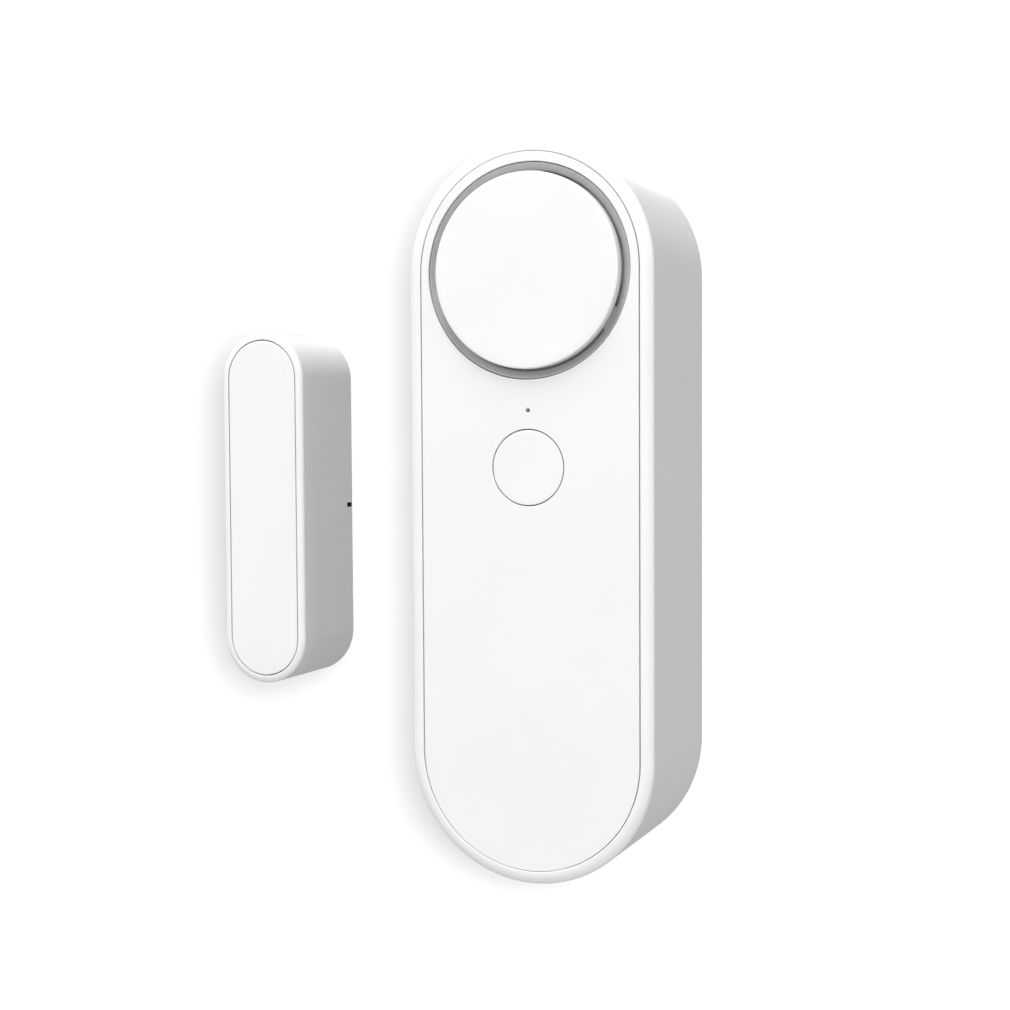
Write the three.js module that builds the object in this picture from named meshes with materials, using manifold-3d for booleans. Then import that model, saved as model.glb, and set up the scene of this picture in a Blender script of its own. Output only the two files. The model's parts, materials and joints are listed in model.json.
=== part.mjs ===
// Door contact sensor with a built-in siren: a battery unit and a small magnet unit.
//
// Millimetres. Each unit is drawn face-on: x to the right, y up and z out from the wall.
// The last lines turn the drawing, so up becomes +Z and the faces look along -Y.
// The origin is the middle of the sensor's adhesive pad, where it meets the wall.

import * as THREE from 'three';
import { mergeVertices } from 'three/addons/utils/BufferGeometryUtils.js';
import Module from 'manifold-3d';

const wasm = await Module();
wasm.setup();

// ---------------------------------------------------------------- driving dimensions

const ARC_STEPS = 10;          // curve divisions; an end arc gets twice as many sides
const HOLE_SIDES = 40;         // sides of a round hole in a plate
const ROUND_SIDES = 20;        // sides of a small turned piece
const SIREN_SIDES = 40;        // sides of the siren's large turned pieces
const WIRE_SIDES = 6;
const WIRE_RADIUS = 0.45;
const CLEARANCE = 0.12;        // round a plate, panel or button that sits inside an opening
const LAYER_GAP = 0.1;         // between layers that are stacked out from the wall
const OVERLAP = 0.5;           // how far joined blocks reach into each other
const PAST = 1;                // how far a cutting tool reaches past the surface it cuts

// Sensor unit: a stadium outline, 35.8 wide and 102.6 tall
const SENSOR_RADIUS = 17.9;
const SENSOR_REACH = 33.4;     // centre of each end arc, above and below the middle
const SENSOR_WALL = 1.8;
const SENSOR_FACE = 24.7;      // front face, out from the wall
const SENSOR_RIM = { width: 1.6, drop: 0.87 };   // the rim's curve down to the sides
const SENSOR_INSIDE = SENSOR_RADIUS - SENSOR_WALL;
const INSIDE_REACH = 33.5;     // the opening is a little longer than the outline

// Magnet unit: a narrow stadium beside it, 13.9 wide and 53.4 tall
const MAGNET_X = -46.65;
const MAGNET_Y = -0.2;
const MAGNET_RADIUS = 6.95;
const MAGNET_REACH = 19.75;
const MAGNET_WALL = 1.09;
const MAGNET_FACE = 16.8;
const MAGNET_RIM = { width: 1.0, drop: 0.6 };
const MAGNET_INSIDE = MAGNET_RADIUS - MAGNET_WALL;

// Layers shared by both units, out from the wall
const PAD = { back: 0, front: 0.75 };
const REAR_SKIN = { back: 0.8, front: 2.6 };
const SENSOR_PAD = { radius: 13.5, reach: 31 };
const MAGNET_PAD = { radius: 4.6, reach: 18.5 };

// Tabs on the sensor's rear plate that locate the tub
const SIDE_TAB = { inner: 14.5, outer: 15.7, bottom: 14, top: 30, height: 4 };
const BOTTOM_TAB = { halfWidth: 3, bottom: -49, top: -48 };

// Layers of the sensor unit
const TRAY_FLOOR = { back: 13.65, front: 14.9 };
const BOARD = { back: 15.2, front: 16.4 };
const BULKHEAD = { back: 20.8, front: 22.2 };
const PANEL = { back: BULKHEAD.front + LAYER_GAP, front: SENSOR_FACE };
const COMPONENT_BACK = BOARD.front + 0.05;
const BOARD_TOP = 17.5;        // the board stops short of the siren

// Siren, just below the middle of the top arc
const SIREN_Y = SENSOR_REACH - 0.1;
const RING_RADIUS = 14.7;      // outer edge of the sloping ring, at the face
const THROAT_RADIUS = 13.62;   // inner edge of the slope
const THROAT_DEPTH = 1.0;
const CAP_RADIUS = 13.37;      // leaves the thin sound slit inside the throat
const CAP_PROUD = 0.9;
const CAP_BACK = SENSOR_FACE - THROAT_DEPTH + LAYER_GAP;
const CAP_CHAMFER = 0.2;
const HUB_RADIUS = 4;
const PEG_RADIUS = 1.5;
const SPOKE_WIDTH = 3.4;
const SPOKE_ANGLES = [90, 210, 330];
const CHAMBER_RADIUS = 12.6;
const CHAMBER_WALL = 1.2;
const CHAMBER_BACK = 7;
const FLANGE = { radius: 15.6, back: 19.6, front: 20.6 };
const LEDGE = { radius: 10.3, back: 17.3, front: 18.4 };
const FLANGE_SCREW_CIRCLE = 14.2;
const FLANGE_PILOT_RADIUS = 0.7;
const FLANGE_HOLE_RADIUS = 0.8;
const WIRE_GATE = { halfWidth: 2.2, back: 11, front: 13.6 };
const DIAPHRAGM = { radius: 11.1, back: 19.1, front: 19.3 };
const PIEZO = { radius: 8, back: 18.7, front: 19.0 };
const GASKET = { inner: 10.5, outer: 11.2, back: 18.5, front: 19.0 };
const SIREN_WIRE_X = 1.2;

// Button and its switch, and the light
const BUTTON_Y = 6.45;
const BUTTON_RADIUS = 5.15;
const BUTTON_SIDES = 32;
const BUTTON_CHAMFER = 0.12;
const BUTTON_FLANGE = { radius: 6.2, back: 21.6, front: 22.2 };
const BUTTON_STEM = { radius: 1.6, back: 20.5 };
const BUTTON_WELL_RADIUS = 6.6;
const SWITCH_SIZE = 6;
const SWITCH_FRONT = 19.9;
const SWITCH_BORE = { radius: 1.9, back: 18.2 };
const PLUNGER = { radius: 1.7, back: 18.9, front: 20.4 };
const LIGHT_Y = 14.3;
const LIGHT_HOLE_RADIUS = 0.28;
const LIGHT_TIP = { radius: 0.2, front: 24.1 };
const LIGHT_PIPE = { radius: 1.0, back: 17.6, front: 22.1, sides: 12 };
const LED = { halfWidth: 0.8, halfHeight: 0.5, front: 17.3 };

// AAA cells, side by side; each has its positive end the other way up
const CELL = { radius: 5.25, length: 44.5, nub: 0.9, nubRadius: 1.9, x: 5.35, z: 8.3 };
const CELL_1_TOP = 5.0;
const CELL_2_BOTTOM = -42.4;
const CELL_CORNER = { inset: 0.5, height: 0.4 };
const TRAY = { halfWidth: 11.7, wall: 0.95, bottom: -44.2, top: 7.2, endWall: 1.2 };
const TRAY_BACK = { sides: 6.5, ends: 4.6 };
const TRAY_EAR = { inner: 7, top: 11.5 };
const CONTACT = { inner: 1.4, outer: 9.5, back: 5, front: 12, thickness: 0.4 };
const SPRING = { wire: 0.3, turns: 3, small: 2.0, large: 3.2, length: 2.3, steps: 36 };

// Fasteners: head and shank radius, head height, shank length, and where the head starts
const TRAY_SCREW = { x: 9.3, y: 9.5, head: 1.6, shank: 0.7, headHeight: 1.2, length: 6, back: 12.35 };
const BOARD_SCREW = { x: 13.5, y: -28, head: 1.6, shank: 0.7, headHeight: 1.2, length: 4.5, back: 13.9 };
const SIREN_SCREW = { head: 1.2, shank: 0.6, headHeight: 1.1, length: 2.4, back: 18.4 };
const SCREW_SIDES = 10;
const BOSS_RADIUS = 2;
const PILOT_RADIUS = 0.8;
const SCREW_HOLE_RADIUS = 1.0;

// Reed switch, on the side that faces the magnet
const REED = { x: -13, y: -2, z: 18, radius: 1.1, length: 12, lead: 0.25, bend: 2.4 };
const REED_END = { radius: 0.66, taper: 0.8, sides: 12 };

// Components on the board
const RADIO_BOARD = { x: 2.5, y: -12, halfWidth: 7.5, halfHeight: 10, thickness: 0.8 };
const RADIO_SHIELD = { x: 2.5, y: -15, halfWidth: 5.5, halfHeight: 6.5, height: 2 };
const INDUCTOR = { x: 8.5, y: -32, radius: 3.2, waist: 2.4, flange: 0.7, slope: 0.3, height: 3.4 };
const CAPACITOR = { x: -6, y: -34, radius: 2.6, neck: 2.4, neckLow: 0.8, neckHigh: 1.2, height: 4.1 };

// Inside the magnet unit
const MAGNET_BAR = { halfWidth: 3, halfLength: 15, back: 9.7, front: 12.7 };
const CRADLE = { reach: 16, back: 8.7, front: 13.8 };
const MAGNET_LEDGE = { width: 1.2, back: 13.9, front: 14.9 };
const COVER = { front: 2.2, postY: 9, postRadius: 1.5, postFront: 9.5 };
const MARK = { depth: 0.5, halfHeight: 0.35, back: 1.2, front: 2.7 };

// ---------------------------------------------------------------- materials

function plastic(color, roughness = 0.45) {
  return new THREE.MeshStandardMaterial({ color, roughness, metalness: 0 });
}

function metal(color, roughness = 0.3) {
  return new THREE.MeshStandardMaterial({ color, roughness, metalness: 1 });
}

const paint = {
  white: plastic('#f4f4f3', 0.42),
  panel: plastic('#f1f1f0', 0.5),
  grey: plastic('#8d8d8f', 0.5),
  dark: plastic('#2a2b2d', 0.6),
  clear: plastic('#e8eef0', 0.1),
  foam: plastic('#d9dadb', 0.95),
  board: plastic('#1f5a3a', 0.5),
  cell: plastic('#3c4650', 0.35),
  redWire: plastic('#b3261e', 0.5),
  blackWire: plastic('#1c1c1e', 0.5),
  ceramic: plastic('#dcd8cb', 0.6),
  steel: metal('#b8babd', 0.3),
  tin: metal('#c4c6c8', 0.35),
  brass: metal('#c9a24d', 0.35),
  magnet: metal('#8f9296', 0.4),
};

// ---------------------------------------------------------------- drawing helpers

/** Outline with straight sides and half-round ends, as tall as 2 * (reach + radius). */
function stadium(radius, reach) {
  const shape = new THREE.Shape();
  shape.absarc(0, reach, radius, 0, Math.PI);
  shape.absarc(0, -reach, radius, Math.PI, 2 * Math.PI);
  shape.closePath();
  return shape;
}

/** The lower part of a stadium, cut straight across at height top. */
function stadiumBelow(radius, reach, top) {
  const shape = new THREE.Shape();
  shape.moveTo(radius, top);
  shape.lineTo(-radius, top);
  shape.absarc(0, -reach, radius, Math.PI, 2 * Math.PI);
  shape.closePath();
  return shape;
}

/** A regular polygon with its corners on the circle. */
function circle(radius, x = 0, y = 0, sides = HOLE_SIDES) {
  const corners = [];
  for (let i = 0; i < sides; i += 1) {
    const angle = (2 * Math.PI * i) / sides;
    corners.push(new THREE.Vector2(x + radius * Math.cos(angle), y + radius * Math.sin(angle)));
  }
  return new THREE.Shape(corners);
}

/** A flat plate of the given outline between two distances from the wall. */
function plate(outline, back, front) {
  const depth = front - back;
  const settings = { depth, bevelEnabled: false, curveSegments: ARC_STEPS };
  const geometry = new THREE.ExtrudeGeometry(outline, settings);
  return geometry.translate(0, 0, back);
}

function block(x0, x1, y0, y1, z0, z1) {
  const geometry = new THREE.BoxGeometry(x1 - x0, y1 - y0, z1 - z0);
  return geometry.translate((x0 + x1) / 2, (y0 + y1) / 2, (z0 + z1) / 2);
}

/** A turned piece about the z axis; each profile point is [radius, z], rising from back to front. */
function turned(profile, sides = ROUND_SIDES) {
  const points = profile.map(([radius, z]) => new THREE.Vector2(radius, z));
  return new THREE.LatheGeometry(points, sides).rotateX(Math.PI / 2);
}

function cylinder(radius, back, front, x = 0, y = 0, sides = ROUND_SIDES) {
  return turned([[0, back], [radius, back], [radius, front], [0, front]], sides).translate(x, y, 0);
}

/** A ring turned about the z axis, with a rectangular section. */
function ring(inner, outer, back, front) {
  const section = [[inner, front], [inner, back], [outer, back], [outer, front], [inner, front]];
  return turned(section, SIREN_SIDES);
}

/** Merges shared vertices and drops the empty triangles that a turned piece has on its axis. */
function welded(geometry) {
  const bare = geometry.clone();
  bare.deleteAttribute('normal');
  bare.deleteAttribute('uv');
  const merged = mergeVertices(bare, 1e-4);
  const corners = [];
  for (let i = 0; i < merged.index.count; i += 3) {
    const [a, b, c] = [0, 1, 2].map((k) => merged.index.getX(i + k));
    if (a !== b && b !== c && c !== a) corners.push(a, b, c);
  }
  merged.setIndex(corners);
  return merged;
}

function toSolid(geometry) {
  const mesh = welded(geometry);
  const vertProperties = new Float32Array(mesh.attributes.position.array);
  const triVerts = new Uint32Array(mesh.index.array);
  return new wasm.Manifold(new wasm.Mesh({ numProp: 3, vertProperties, triVerts }));
}

function toGeometry(solid) {
  const { vertProperties, triVerts } = solid.getMesh();
  const geometry = new THREE.BufferGeometry();
  geometry.setAttribute('position', new THREE.BufferAttribute(vertProperties, 3));
  geometry.setIndex(new THREE.BufferAttribute(triVerts, 1));
  geometry.computeVertexNormals();
  return geometry;
}

/** Joins some geometries and cuts others away. */
function carve(joined, cut = []) {
  let solid = joined.map(toSolid).reduce((a, b) => a.add(b));
  for (const geometry of cut) solid = solid.subtract(toSolid(geometry));
  return toGeometry(solid);
}

function piece(name, geometry, material) {
  const mesh = new THREE.Mesh(geometry, material);
  mesh.name = name;
  return mesh;
}

function at(mesh, x, y, z = 0) {
  mesh.position.set(x, y, z);
  return mesh;
}

// ---------------------------------------------------------------- shells of both units

/** A solid of the outline whose front edge curves down to its sides. */
function crownedFront(radius, reach, back, front, rim) {
  const geometry = new THREE.ExtrudeGeometry(stadium(radius, reach), {
    depth: front - back - rim.drop,
    bevelThickness: rim.drop,
    bevelSize: rim.width,
    bevelOffset: -rim.width,
    bevelSegments: 2,
    curveSegments: ARC_STEPS,
  });
  return geometry.translate(0, 0, back);
}

/** The tub's outer wall, open at the back and at the front. */
function shell(radius, reach, opening, front, rim) {
  const hugeX = 2 * radius;
  const hugeY = 2 * (reach + radius);
  const below = block(-hugeX, hugeX, -hugeY, hugeY, -front, REAR_SKIN.back);
  const inside = plate(opening, -front, 2 * front);
  return carve([crownedFront(radius, reach, REAR_SKIN.back, front, rim)], [below, inside]);
}

// ---------------------------------------------------------------- sensor unit: casing

const TRAY_SCREW_SPOTS = [-1, 1].map((side) => [side * TRAY_SCREW.x, TRAY_SCREW.y]);
const BOARD_SCREW_SPOTS = [-1, 1].map((side) => [side * BOARD_SCREW.x, BOARD_SCREW.y]);
const FLANGE_SCREW_SPOTS = SPOKE_ANGLES.map((degrees) => {
  const angle = THREE.MathUtils.degToRad(degrees);
  return [FLANGE_SCREW_CIRCLE * Math.cos(angle), SIREN_Y + FLANGE_SCREW_CIRCLE * Math.sin(angle)];
});

/** A round tool that cuts right through the bulkhead. */
function bulkheadDrill(radius, x, y, sides) {
  return cylinder(radius, BULKHEAD.back - PAST, BULKHEAD.front + PAST, x, y, sides);
}

function sensorHousing() {
  const bulkheadOutline = stadium(SENSOR_INSIDE + OVERLAP, INSIDE_REACH);
  const bulkhead = plate(bulkheadOutline, BULKHEAD.back, BULKHEAD.front);
  const spots = [...TRAY_SCREW_SPOTS, ...BOARD_SCREW_SPOTS];
  const bossBack = BOARD.front + LAYER_GAP;
  const bosses = spots.map(([x, y]) => {
    return cylinder(BOSS_RADIUS, bossBack, BULKHEAD.back + OVERLAP, x, y);
  });
  const pilots = spots.map(([x, y]) => {
    return cylinder(PILOT_RADIUS, bossBack - PAST, BULKHEAD.back - OVERLAP, x, y);
  });
  const flangePilots = FLANGE_SCREW_SPOTS.map(([x, y]) => bulkheadDrill(FLANGE_PILOT_RADIUS, x, y));
  const holes = [
    bulkheadDrill(CHAMBER_RADIUS + 2 * LAYER_GAP, 0, SIREN_Y, SIREN_SIDES),
    bulkheadDrill(BUTTON_WELL_RADIUS, 0, BUTTON_Y),
    bulkheadDrill(LIGHT_PIPE.radius + 2 * LAYER_GAP, 0, LIGHT_Y),
  ];
  const opening = stadium(SENSOR_INSIDE, INSIDE_REACH);
  const wall = shell(SENSOR_RADIUS, SENSOR_REACH, opening, SENSOR_FACE, SENSOR_RIM);
  return carve([wall, bulkhead, ...bosses], [...pilots, ...flangePilots, ...holes]);
}

function frontPanel() {
  const outline = stadium(SENSOR_INSIDE - CLEARANCE, INSIDE_REACH);
  outline.holes.push(circle(RING_RADIUS + LAYER_GAP, 0, SIREN_Y));
  outline.holes.push(circle(BUTTON_RADIUS + CLEARANCE, 0, BUTTON_Y));
  outline.holes.push(circle(LIGHT_HOLE_RADIUS, 0, LIGHT_Y));
  return plate(outline, PANEL.back, PANEL.front);
}

/** The plate that stays on the wall, with three tabs that locate the tub. */
function rearPlate() {
  const outline = stadium(SENSOR_INSIDE - 2 * LAYER_GAP, SENSOR_REACH);
  const skin = plate(outline, REAR_SKIN.back, REAR_SKIN.front);
  const back = REAR_SKIN.front - OVERLAP;
  const front = REAR_SKIN.front + SIDE_TAB.height;
  const { inner, outer, bottom, top } = SIDE_TAB;
  const rightTab = block(inner, outer, bottom, top, back, front);
  const leftTab = block(-outer, -inner, bottom, top, back, front);
  const bottomTab = block(
    -BOTTOM_TAB.halfWidth, BOTTOM_TAB.halfWidth,
    BOTTOM_TAB.bottom, BOTTOM_TAB.top,
    back, front,
  );
  return carve([skin, rightTab, leftTab, bottomTab]);
}

// ---------------------------------------------------------------- sensor unit: siren

function sirenCap() {
  const front = SENSOR_FACE + CAP_PROUD;
  const pegBack = PANEL.back + LAYER_GAP;
  return turned([
    [0, pegBack],
    [PEG_RADIUS, pegBack],
    [PEG_RADIUS, CAP_BACK],
    [CAP_RADIUS, CAP_BACK],
    [CAP_RADIUS, front - CAP_CHAMFER],
    [CAP_RADIUS - CAP_CHAMFER, front],
    [0, front],
  ], SIREN_SIDES);
}

/** The sloping ring, with three spokes to a hub that carries the cap. */
function sirenRing() {
  const throat = SENSOR_FACE - THROAT_DEPTH;
  const funnel = turned([
    [THROAT_RADIUS, PANEL.back],
    [RING_RADIUS, PANEL.back],
    [RING_RADIUS, SENSOR_FACE],
    [THROAT_RADIUS, throat],
    [THROAT_RADIUS, PANEL.back],
  ], SIREN_SIDES);
  const hub = cylinder(HUB_RADIUS, PANEL.back, throat);
  const reach = THROAT_RADIUS + OVERLAP;
  const spokes = SPOKE_ANGLES.map((degrees) => {
    const bar = block(0, reach, -SPOKE_WIDTH / 2, SPOKE_WIDTH / 2, PANEL.back, throat);
    return bar.rotateZ(THREE.MathUtils.degToRad(degrees));
  });
  const pegHole = cylinder(PEG_RADIUS + CLEARANCE, PANEL.back - PAST, throat + PAST);
  return carve([funnel, hub, ...spokes], [pegHole]);
}

/** The cup behind the ring: flange, ledge for the sounder and a gate for the two wires. */
function sirenChamber() {
  const inside = CHAMBER_RADIUS - CHAMBER_WALL;
  const floorFront = CHAMBER_BACK + CHAMBER_WALL;
  const lip = BULKHEAD.front - LAYER_GAP;
  const cup = turned([
    [0, CHAMBER_BACK],
    [CHAMBER_RADIUS, CHAMBER_BACK],
    [CHAMBER_RADIUS, FLANGE.back],
    [FLANGE.radius, FLANGE.back],
    [FLANGE.radius, FLANGE.front],
    [CHAMBER_RADIUS, FLANGE.front],
    [CHAMBER_RADIUS, lip],
    [inside, lip],
    [inside, LEDGE.front],
    [LEDGE.radius, LEDGE.front],
    [LEDGE.radius, LEDGE.back],
    [inside, LEDGE.back],
    [inside, floorFront],
    [0, floorFront],
  ], SIREN_SIDES);
  const { halfWidth, back, front } = WIRE_GATE;
  const wireGate = block(-halfWidth, halfWidth, -CHAMBER_RADIUS - PAST, -inside + PAST, back, front);
  const holes = FLANGE_SCREW_SPOTS.map(([x, y]) => {
    return cylinder(FLANGE_HOLE_RADIUS, FLANGE.back - PAST, FLANGE.front + PAST, x, y - SIREN_Y);
  });
  return carve([cup], [wireGate, ...holes]);
}

// ---------------------------------------------------------------- button, switch and light

function buttonCap() {
  return turned([
    [0, BUTTON_STEM.back],
    [BUTTON_STEM.radius, BUTTON_STEM.back],
    [BUTTON_STEM.radius, BUTTON_FLANGE.back],
    [BUTTON_FLANGE.radius, BUTTON_FLANGE.back],
    [BUTTON_FLANGE.radius, BUTTON_FLANGE.front],
    [BUTTON_RADIUS, BUTTON_FLANGE.front],
    [BUTTON_RADIUS, SENSOR_FACE - BUTTON_CHAMFER],
    [BUTTON_RADIUS - BUTTON_CHAMFER, SENSOR_FACE],
    [0, SENSOR_FACE],
  ], BUTTON_SIDES);
}

function tactSwitch() {
  const half = SWITCH_SIZE / 2;
  const body = block(-half, half, -half, half, COMPONENT_BACK, SWITCH_FRONT);
  return carve([body], [cylinder(SWITCH_BORE.radius, SWITCH_BORE.back, SWITCH_FRONT + PAST)]);
}

function switchPlunger() {
  return cylinder(PLUNGER.radius, PLUNGER.back, PLUNGER.front);
}

function lightPipe() {
  return turned([
    [0, LIGHT_PIPE.back],
    [LIGHT_PIPE.radius, LIGHT_PIPE.back],
    [LIGHT_PIPE.radius, LIGHT_PIPE.front],
    [LIGHT_TIP.radius, LIGHT_PIPE.front],
    [LIGHT_TIP.radius, LIGHT_TIP.front],
    [0, LIGHT_TIP.front],
  ], LIGHT_PIPE.sides);
}

function statusLed() {
  const { halfWidth, halfHeight, front } = LED;
  return block(-halfWidth, halfWidth, -halfHeight, halfHeight, COMPONENT_BACK, front);
}

// ---------------------------------------------------------------- board and its components

function mainBoard() {
  const outline = stadiumBelow(SENSOR_INSIDE - 4 * LAYER_GAP, SENSOR_REACH, BOARD_TOP);
  for (const [x, y] of [...TRAY_SCREW_SPOTS, ...BOARD_SCREW_SPOTS]) {
    outline.holes.push(circle(SCREW_HOLE_RADIUS, x, y));
  }
  return plate(outline, BOARD.back, BOARD.front);
}

/** A pan-head screw with a pointed tip and a cross recess; its head faces the wall. */
function screw({ head, shank, headHeight, length }) {
  const body = turned([
    [0, 0],
    [head * 0.7, 0],
    [head, headHeight * 0.4],
    [head, headHeight],
    [shank, headHeight],
    [shank, headHeight + length - shank],
    [0, headHeight + length],
  ], SCREW_SIDES);
  const arm = head * 0.55;
  const slot = head * 0.12;
  const depth = headHeight * 0.5;
  const across = block(-arm, arm, -slot, slot, -PAST, depth);
  const upright = block(-slot, slot, -arm, arm, -PAST, depth);
  return carve([body], [across, upright]);
}

function reedGlass() {
  const end = REED.length / 2;
  const shoulder = end - REED_END.taper;
  return turned([
    [0, -end],
    [REED_END.radius, -end],
    [REED.radius, -shoulder],
    [REED.radius, shoulder],
    [REED_END.radius, end],
    [0, end],
  ], REED_END.sides).rotateX(-Math.PI / 2);
}

/** A lead that leaves the glass, runs on, and bends down into the board. */
function reedLead(direction) {
  const start = direction * (REED.length / 2 + 0.1);
  const end = start + direction * REED.bend;
  const path = new THREE.CurvePath();
  const straight = new THREE.Vector3(0, end - direction * 0.8, 0);
  path.add(new THREE.LineCurve3(new THREE.Vector3(0, start, 0), straight));
  const corner = new THREE.Vector3(0, end, 0);
  const down = new THREE.Vector3(0, end, COMPONENT_BACK - REED.z);
  path.add(new THREE.QuadraticBezierCurve3(straight, corner, down));
  const section = circle(REED.lead, 0, 0, WIRE_SIDES);
  return new THREE.ExtrudeGeometry(section, { extrudePath: path, steps: 10 });
}

function wire(points) {
  const path = new THREE.CatmullRomCurve3(points.map((point) => new THREE.Vector3(...point)));
  const section = circle(WIRE_RADIUS, 0, 0, WIRE_SIDES);
  return new THREE.ExtrudeGeometry(section, { extrudePath: path, steps: 20 });
}

/** From the sounder's back, out of the chamber's gate and down to the board. */
function sirenWire(x) {
  return wire([
    [x, SIREN_Y - 5, 17.6],
    [x, SIREN_Y - 7.5, 14],
    [x, SIREN_Y - CHAMBER_RADIUS, 12.3],
    [x, 17.2, 12.2],
    [x, 15.4, 13.2],
    [x, 15, BOARD.back - LAYER_GAP],
  ]);
}

function radioBoard() {
  const { halfWidth, halfHeight, thickness } = RADIO_BOARD;
  const front = COMPONENT_BACK + thickness;
  return block(-halfWidth, halfWidth, -halfHeight, halfHeight, COMPONENT_BACK, front);
}

function radioShield() {
  const { halfWidth, halfHeight, height } = RADIO_SHIELD;
  const back = COMPONENT_BACK + RADIO_BOARD.thickness + 0.05;
  return block(-halfWidth, halfWidth, -halfHeight, halfHeight, back, back + height);
}

/** A drum core, standing on the board: two flanges and a waist. */
function inductor() {
  const { radius, waist, flange, slope, height } = INDUCTOR;
  const foot = COMPONENT_BACK;
  const top = foot + height;
  return turned([
    [0, foot],
    [radius, foot],
    [radius, foot + flange],
    [waist, foot + flange + slope],
    [waist, top - flange - slope],
    [radius, top - flange],
    [radius, top],
    [0, top],
  ]);
}

/** An aluminium can with the groove that holds its seal. */
function capacitor() {
  const { radius, neck, neckLow, neckHigh, height } = CAPACITOR;
  const foot = COMPONENT_BACK;
  const chamfer = radius - neck;
  return turned([
    [0, foot],
    [radius, foot],
    [radius, foot + neckLow],
    [neck, foot + (neckLow + neckHigh) / 2],
    [radius, foot + neckHigh],
    [radius, foot + height - chamfer],
    [radius - chamfer, foot + height],
    [0, foot + height],
  ]);
}

// ---------------------------------------------------------------- battery tray, cells, contacts

function batteryTray() {
  const { halfWidth, wall, bottom, top, endWall } = TRAY;
  const { back, front } = TRAY_FLOOR;
  const { inner, top: earTop } = TRAY_EAR;
  const boards = [
    block(-halfWidth, halfWidth, bottom, top, back, front),
    block(-halfWidth, -halfWidth + wall, bottom, top, TRAY_BACK.sides, front),
    block(halfWidth - wall, halfWidth, bottom, top, TRAY_BACK.sides, front),
    block(-halfWidth, halfWidth, bottom, bottom + endWall, TRAY_BACK.ends, front),
    block(-halfWidth, halfWidth, top - endWall, top, TRAY_BACK.ends, front),
    block(inner, halfWidth, top - OVERLAP, earTop, back, front),
    block(-halfWidth, -inner, top - OVERLAP, earTop, back, front),
  ];
  const holes = TRAY_SCREW_SPOTS.map(([x, y]) => {
    return cylinder(SCREW_HOLE_RADIUS, back - PAST, front + PAST, x, y);
  });
  return carve(boards, holes);
}

/** A cell that stands along +y, its positive nub on top and its tail at y = 0. */
function cell() {
  const body = CELL.length - CELL.nub;
  const { inset, height } = CELL_CORNER;
  const profile = [
    [0, 0],
    [CELL.radius - inset, 0],
    [CELL.radius, height],
    [CELL.radius, body - height],
    [CELL.radius - inset, body],
    [CELL.nubRadius, body],
    [CELL.nubRadius, CELL.length],
    [0, CELL.length],
  ];
  return turned(profile).rotateX(-Math.PI / 2);
}

class ConeHelix extends THREE.Curve {
  getPoint(t) {
    const angle = 2 * Math.PI * SPRING.turns * t;
    const radius = THREE.MathUtils.lerp(SPRING.large, SPRING.small, t);
    return new THREE.Vector3(radius * Math.cos(angle), SPRING.length * t, radius * Math.sin(angle));
  }
}

/** A conical contact spring that stands along +y on its wide end. */
function contactSpring() {
  const section = circle(SPRING.wire, 0, 0, WIRE_SIDES);
  return new THREE.ExtrudeGeometry(section, { extrudePath: new ConeHelix(), steps: SPRING.steps });
}

function contactPlate(x0, x1) {
  return block(x0, x1, 0, CONTACT.thickness, CONTACT.back, CONTACT.front);
}

// ---------------------------------------------------------------- magnet unit

function magnetHousing() {
  const opening = stadium(MAGNET_INSIDE, MAGNET_REACH);
  const wall = shell(MAGNET_RADIUS, MAGNET_REACH, opening, MAGNET_FACE, MAGNET_RIM);
  const { width, back, front } = MAGNET_LEDGE;
  const ledge = plate(stadium(MAGNET_INSIDE + OVERLAP, MAGNET_REACH), back, front);
  const window = plate(stadium(MAGNET_INSIDE - width, MAGNET_REACH), back - OVERLAP, front + OVERLAP);
  const mark = block(
    MAGNET_RADIUS - MARK.depth, MAGNET_RADIUS + PAST,
    -MARK.halfHeight, MARK.halfHeight,
    MARK.back, MARK.front,
  );
  return carve([wall, ledge], [window, mark]);
}

function magnetPanel() {
  const outline = stadium(MAGNET_INSIDE - CLEARANCE, MAGNET_REACH);
  return plate(outline, MAGNET_LEDGE.front + LAYER_GAP, MAGNET_FACE);
}

/** Rear cover with two posts that keep the magnet in its cradle. */
function magnetRearCover() {
  const outline = stadium(MAGNET_INSIDE - CLEARANCE, MAGNET_REACH);
  const skin = plate(outline, REAR_SKIN.back, COVER.front);
  const posts = [-COVER.postY, COVER.postY].map((y) => {
    return cylinder(COVER.postRadius, REAR_SKIN.back + OVERLAP, COVER.postFront, 0, y);
  });
  return carve([skin, ...posts]);
}

function magnetCradle() {
  const body = plate(stadium(MAGNET_INSIDE - 3 * LAYER_GAP, CRADLE.reach), CRADLE.back, CRADLE.front);
  const { halfWidth, halfLength, front } = MAGNET_BAR;
  const slack = 2 * LAYER_GAP;
  const pocket = block(
    -halfWidth - slack, halfWidth + slack,
    -halfLength - slack, halfLength + slack,
    0, front + LAYER_GAP,
  );
  return carve([body], [pocket]);
}

function magnetBar() {
  const { halfWidth, halfLength, back, front } = MAGNET_BAR;
  return block(-halfWidth, halfWidth, -halfLength, halfLength, back, front);
}

// ---------------------------------------------------------------- assembly

function addCasing(unit) {
  const pad = plate(stadium(SENSOR_PAD.radius, SENSOR_PAD.reach), PAD.back, PAD.front);
  unit.add(piece('sensor_adhesive_pad', pad, paint.foam));
  unit.add(piece('sensor_rear_plate', rearPlate(), paint.white));
  unit.add(piece('sensor_housing', sensorHousing(), paint.white));
  unit.add(piece('front_panel', frontPanel(), paint.panel));
}

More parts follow.
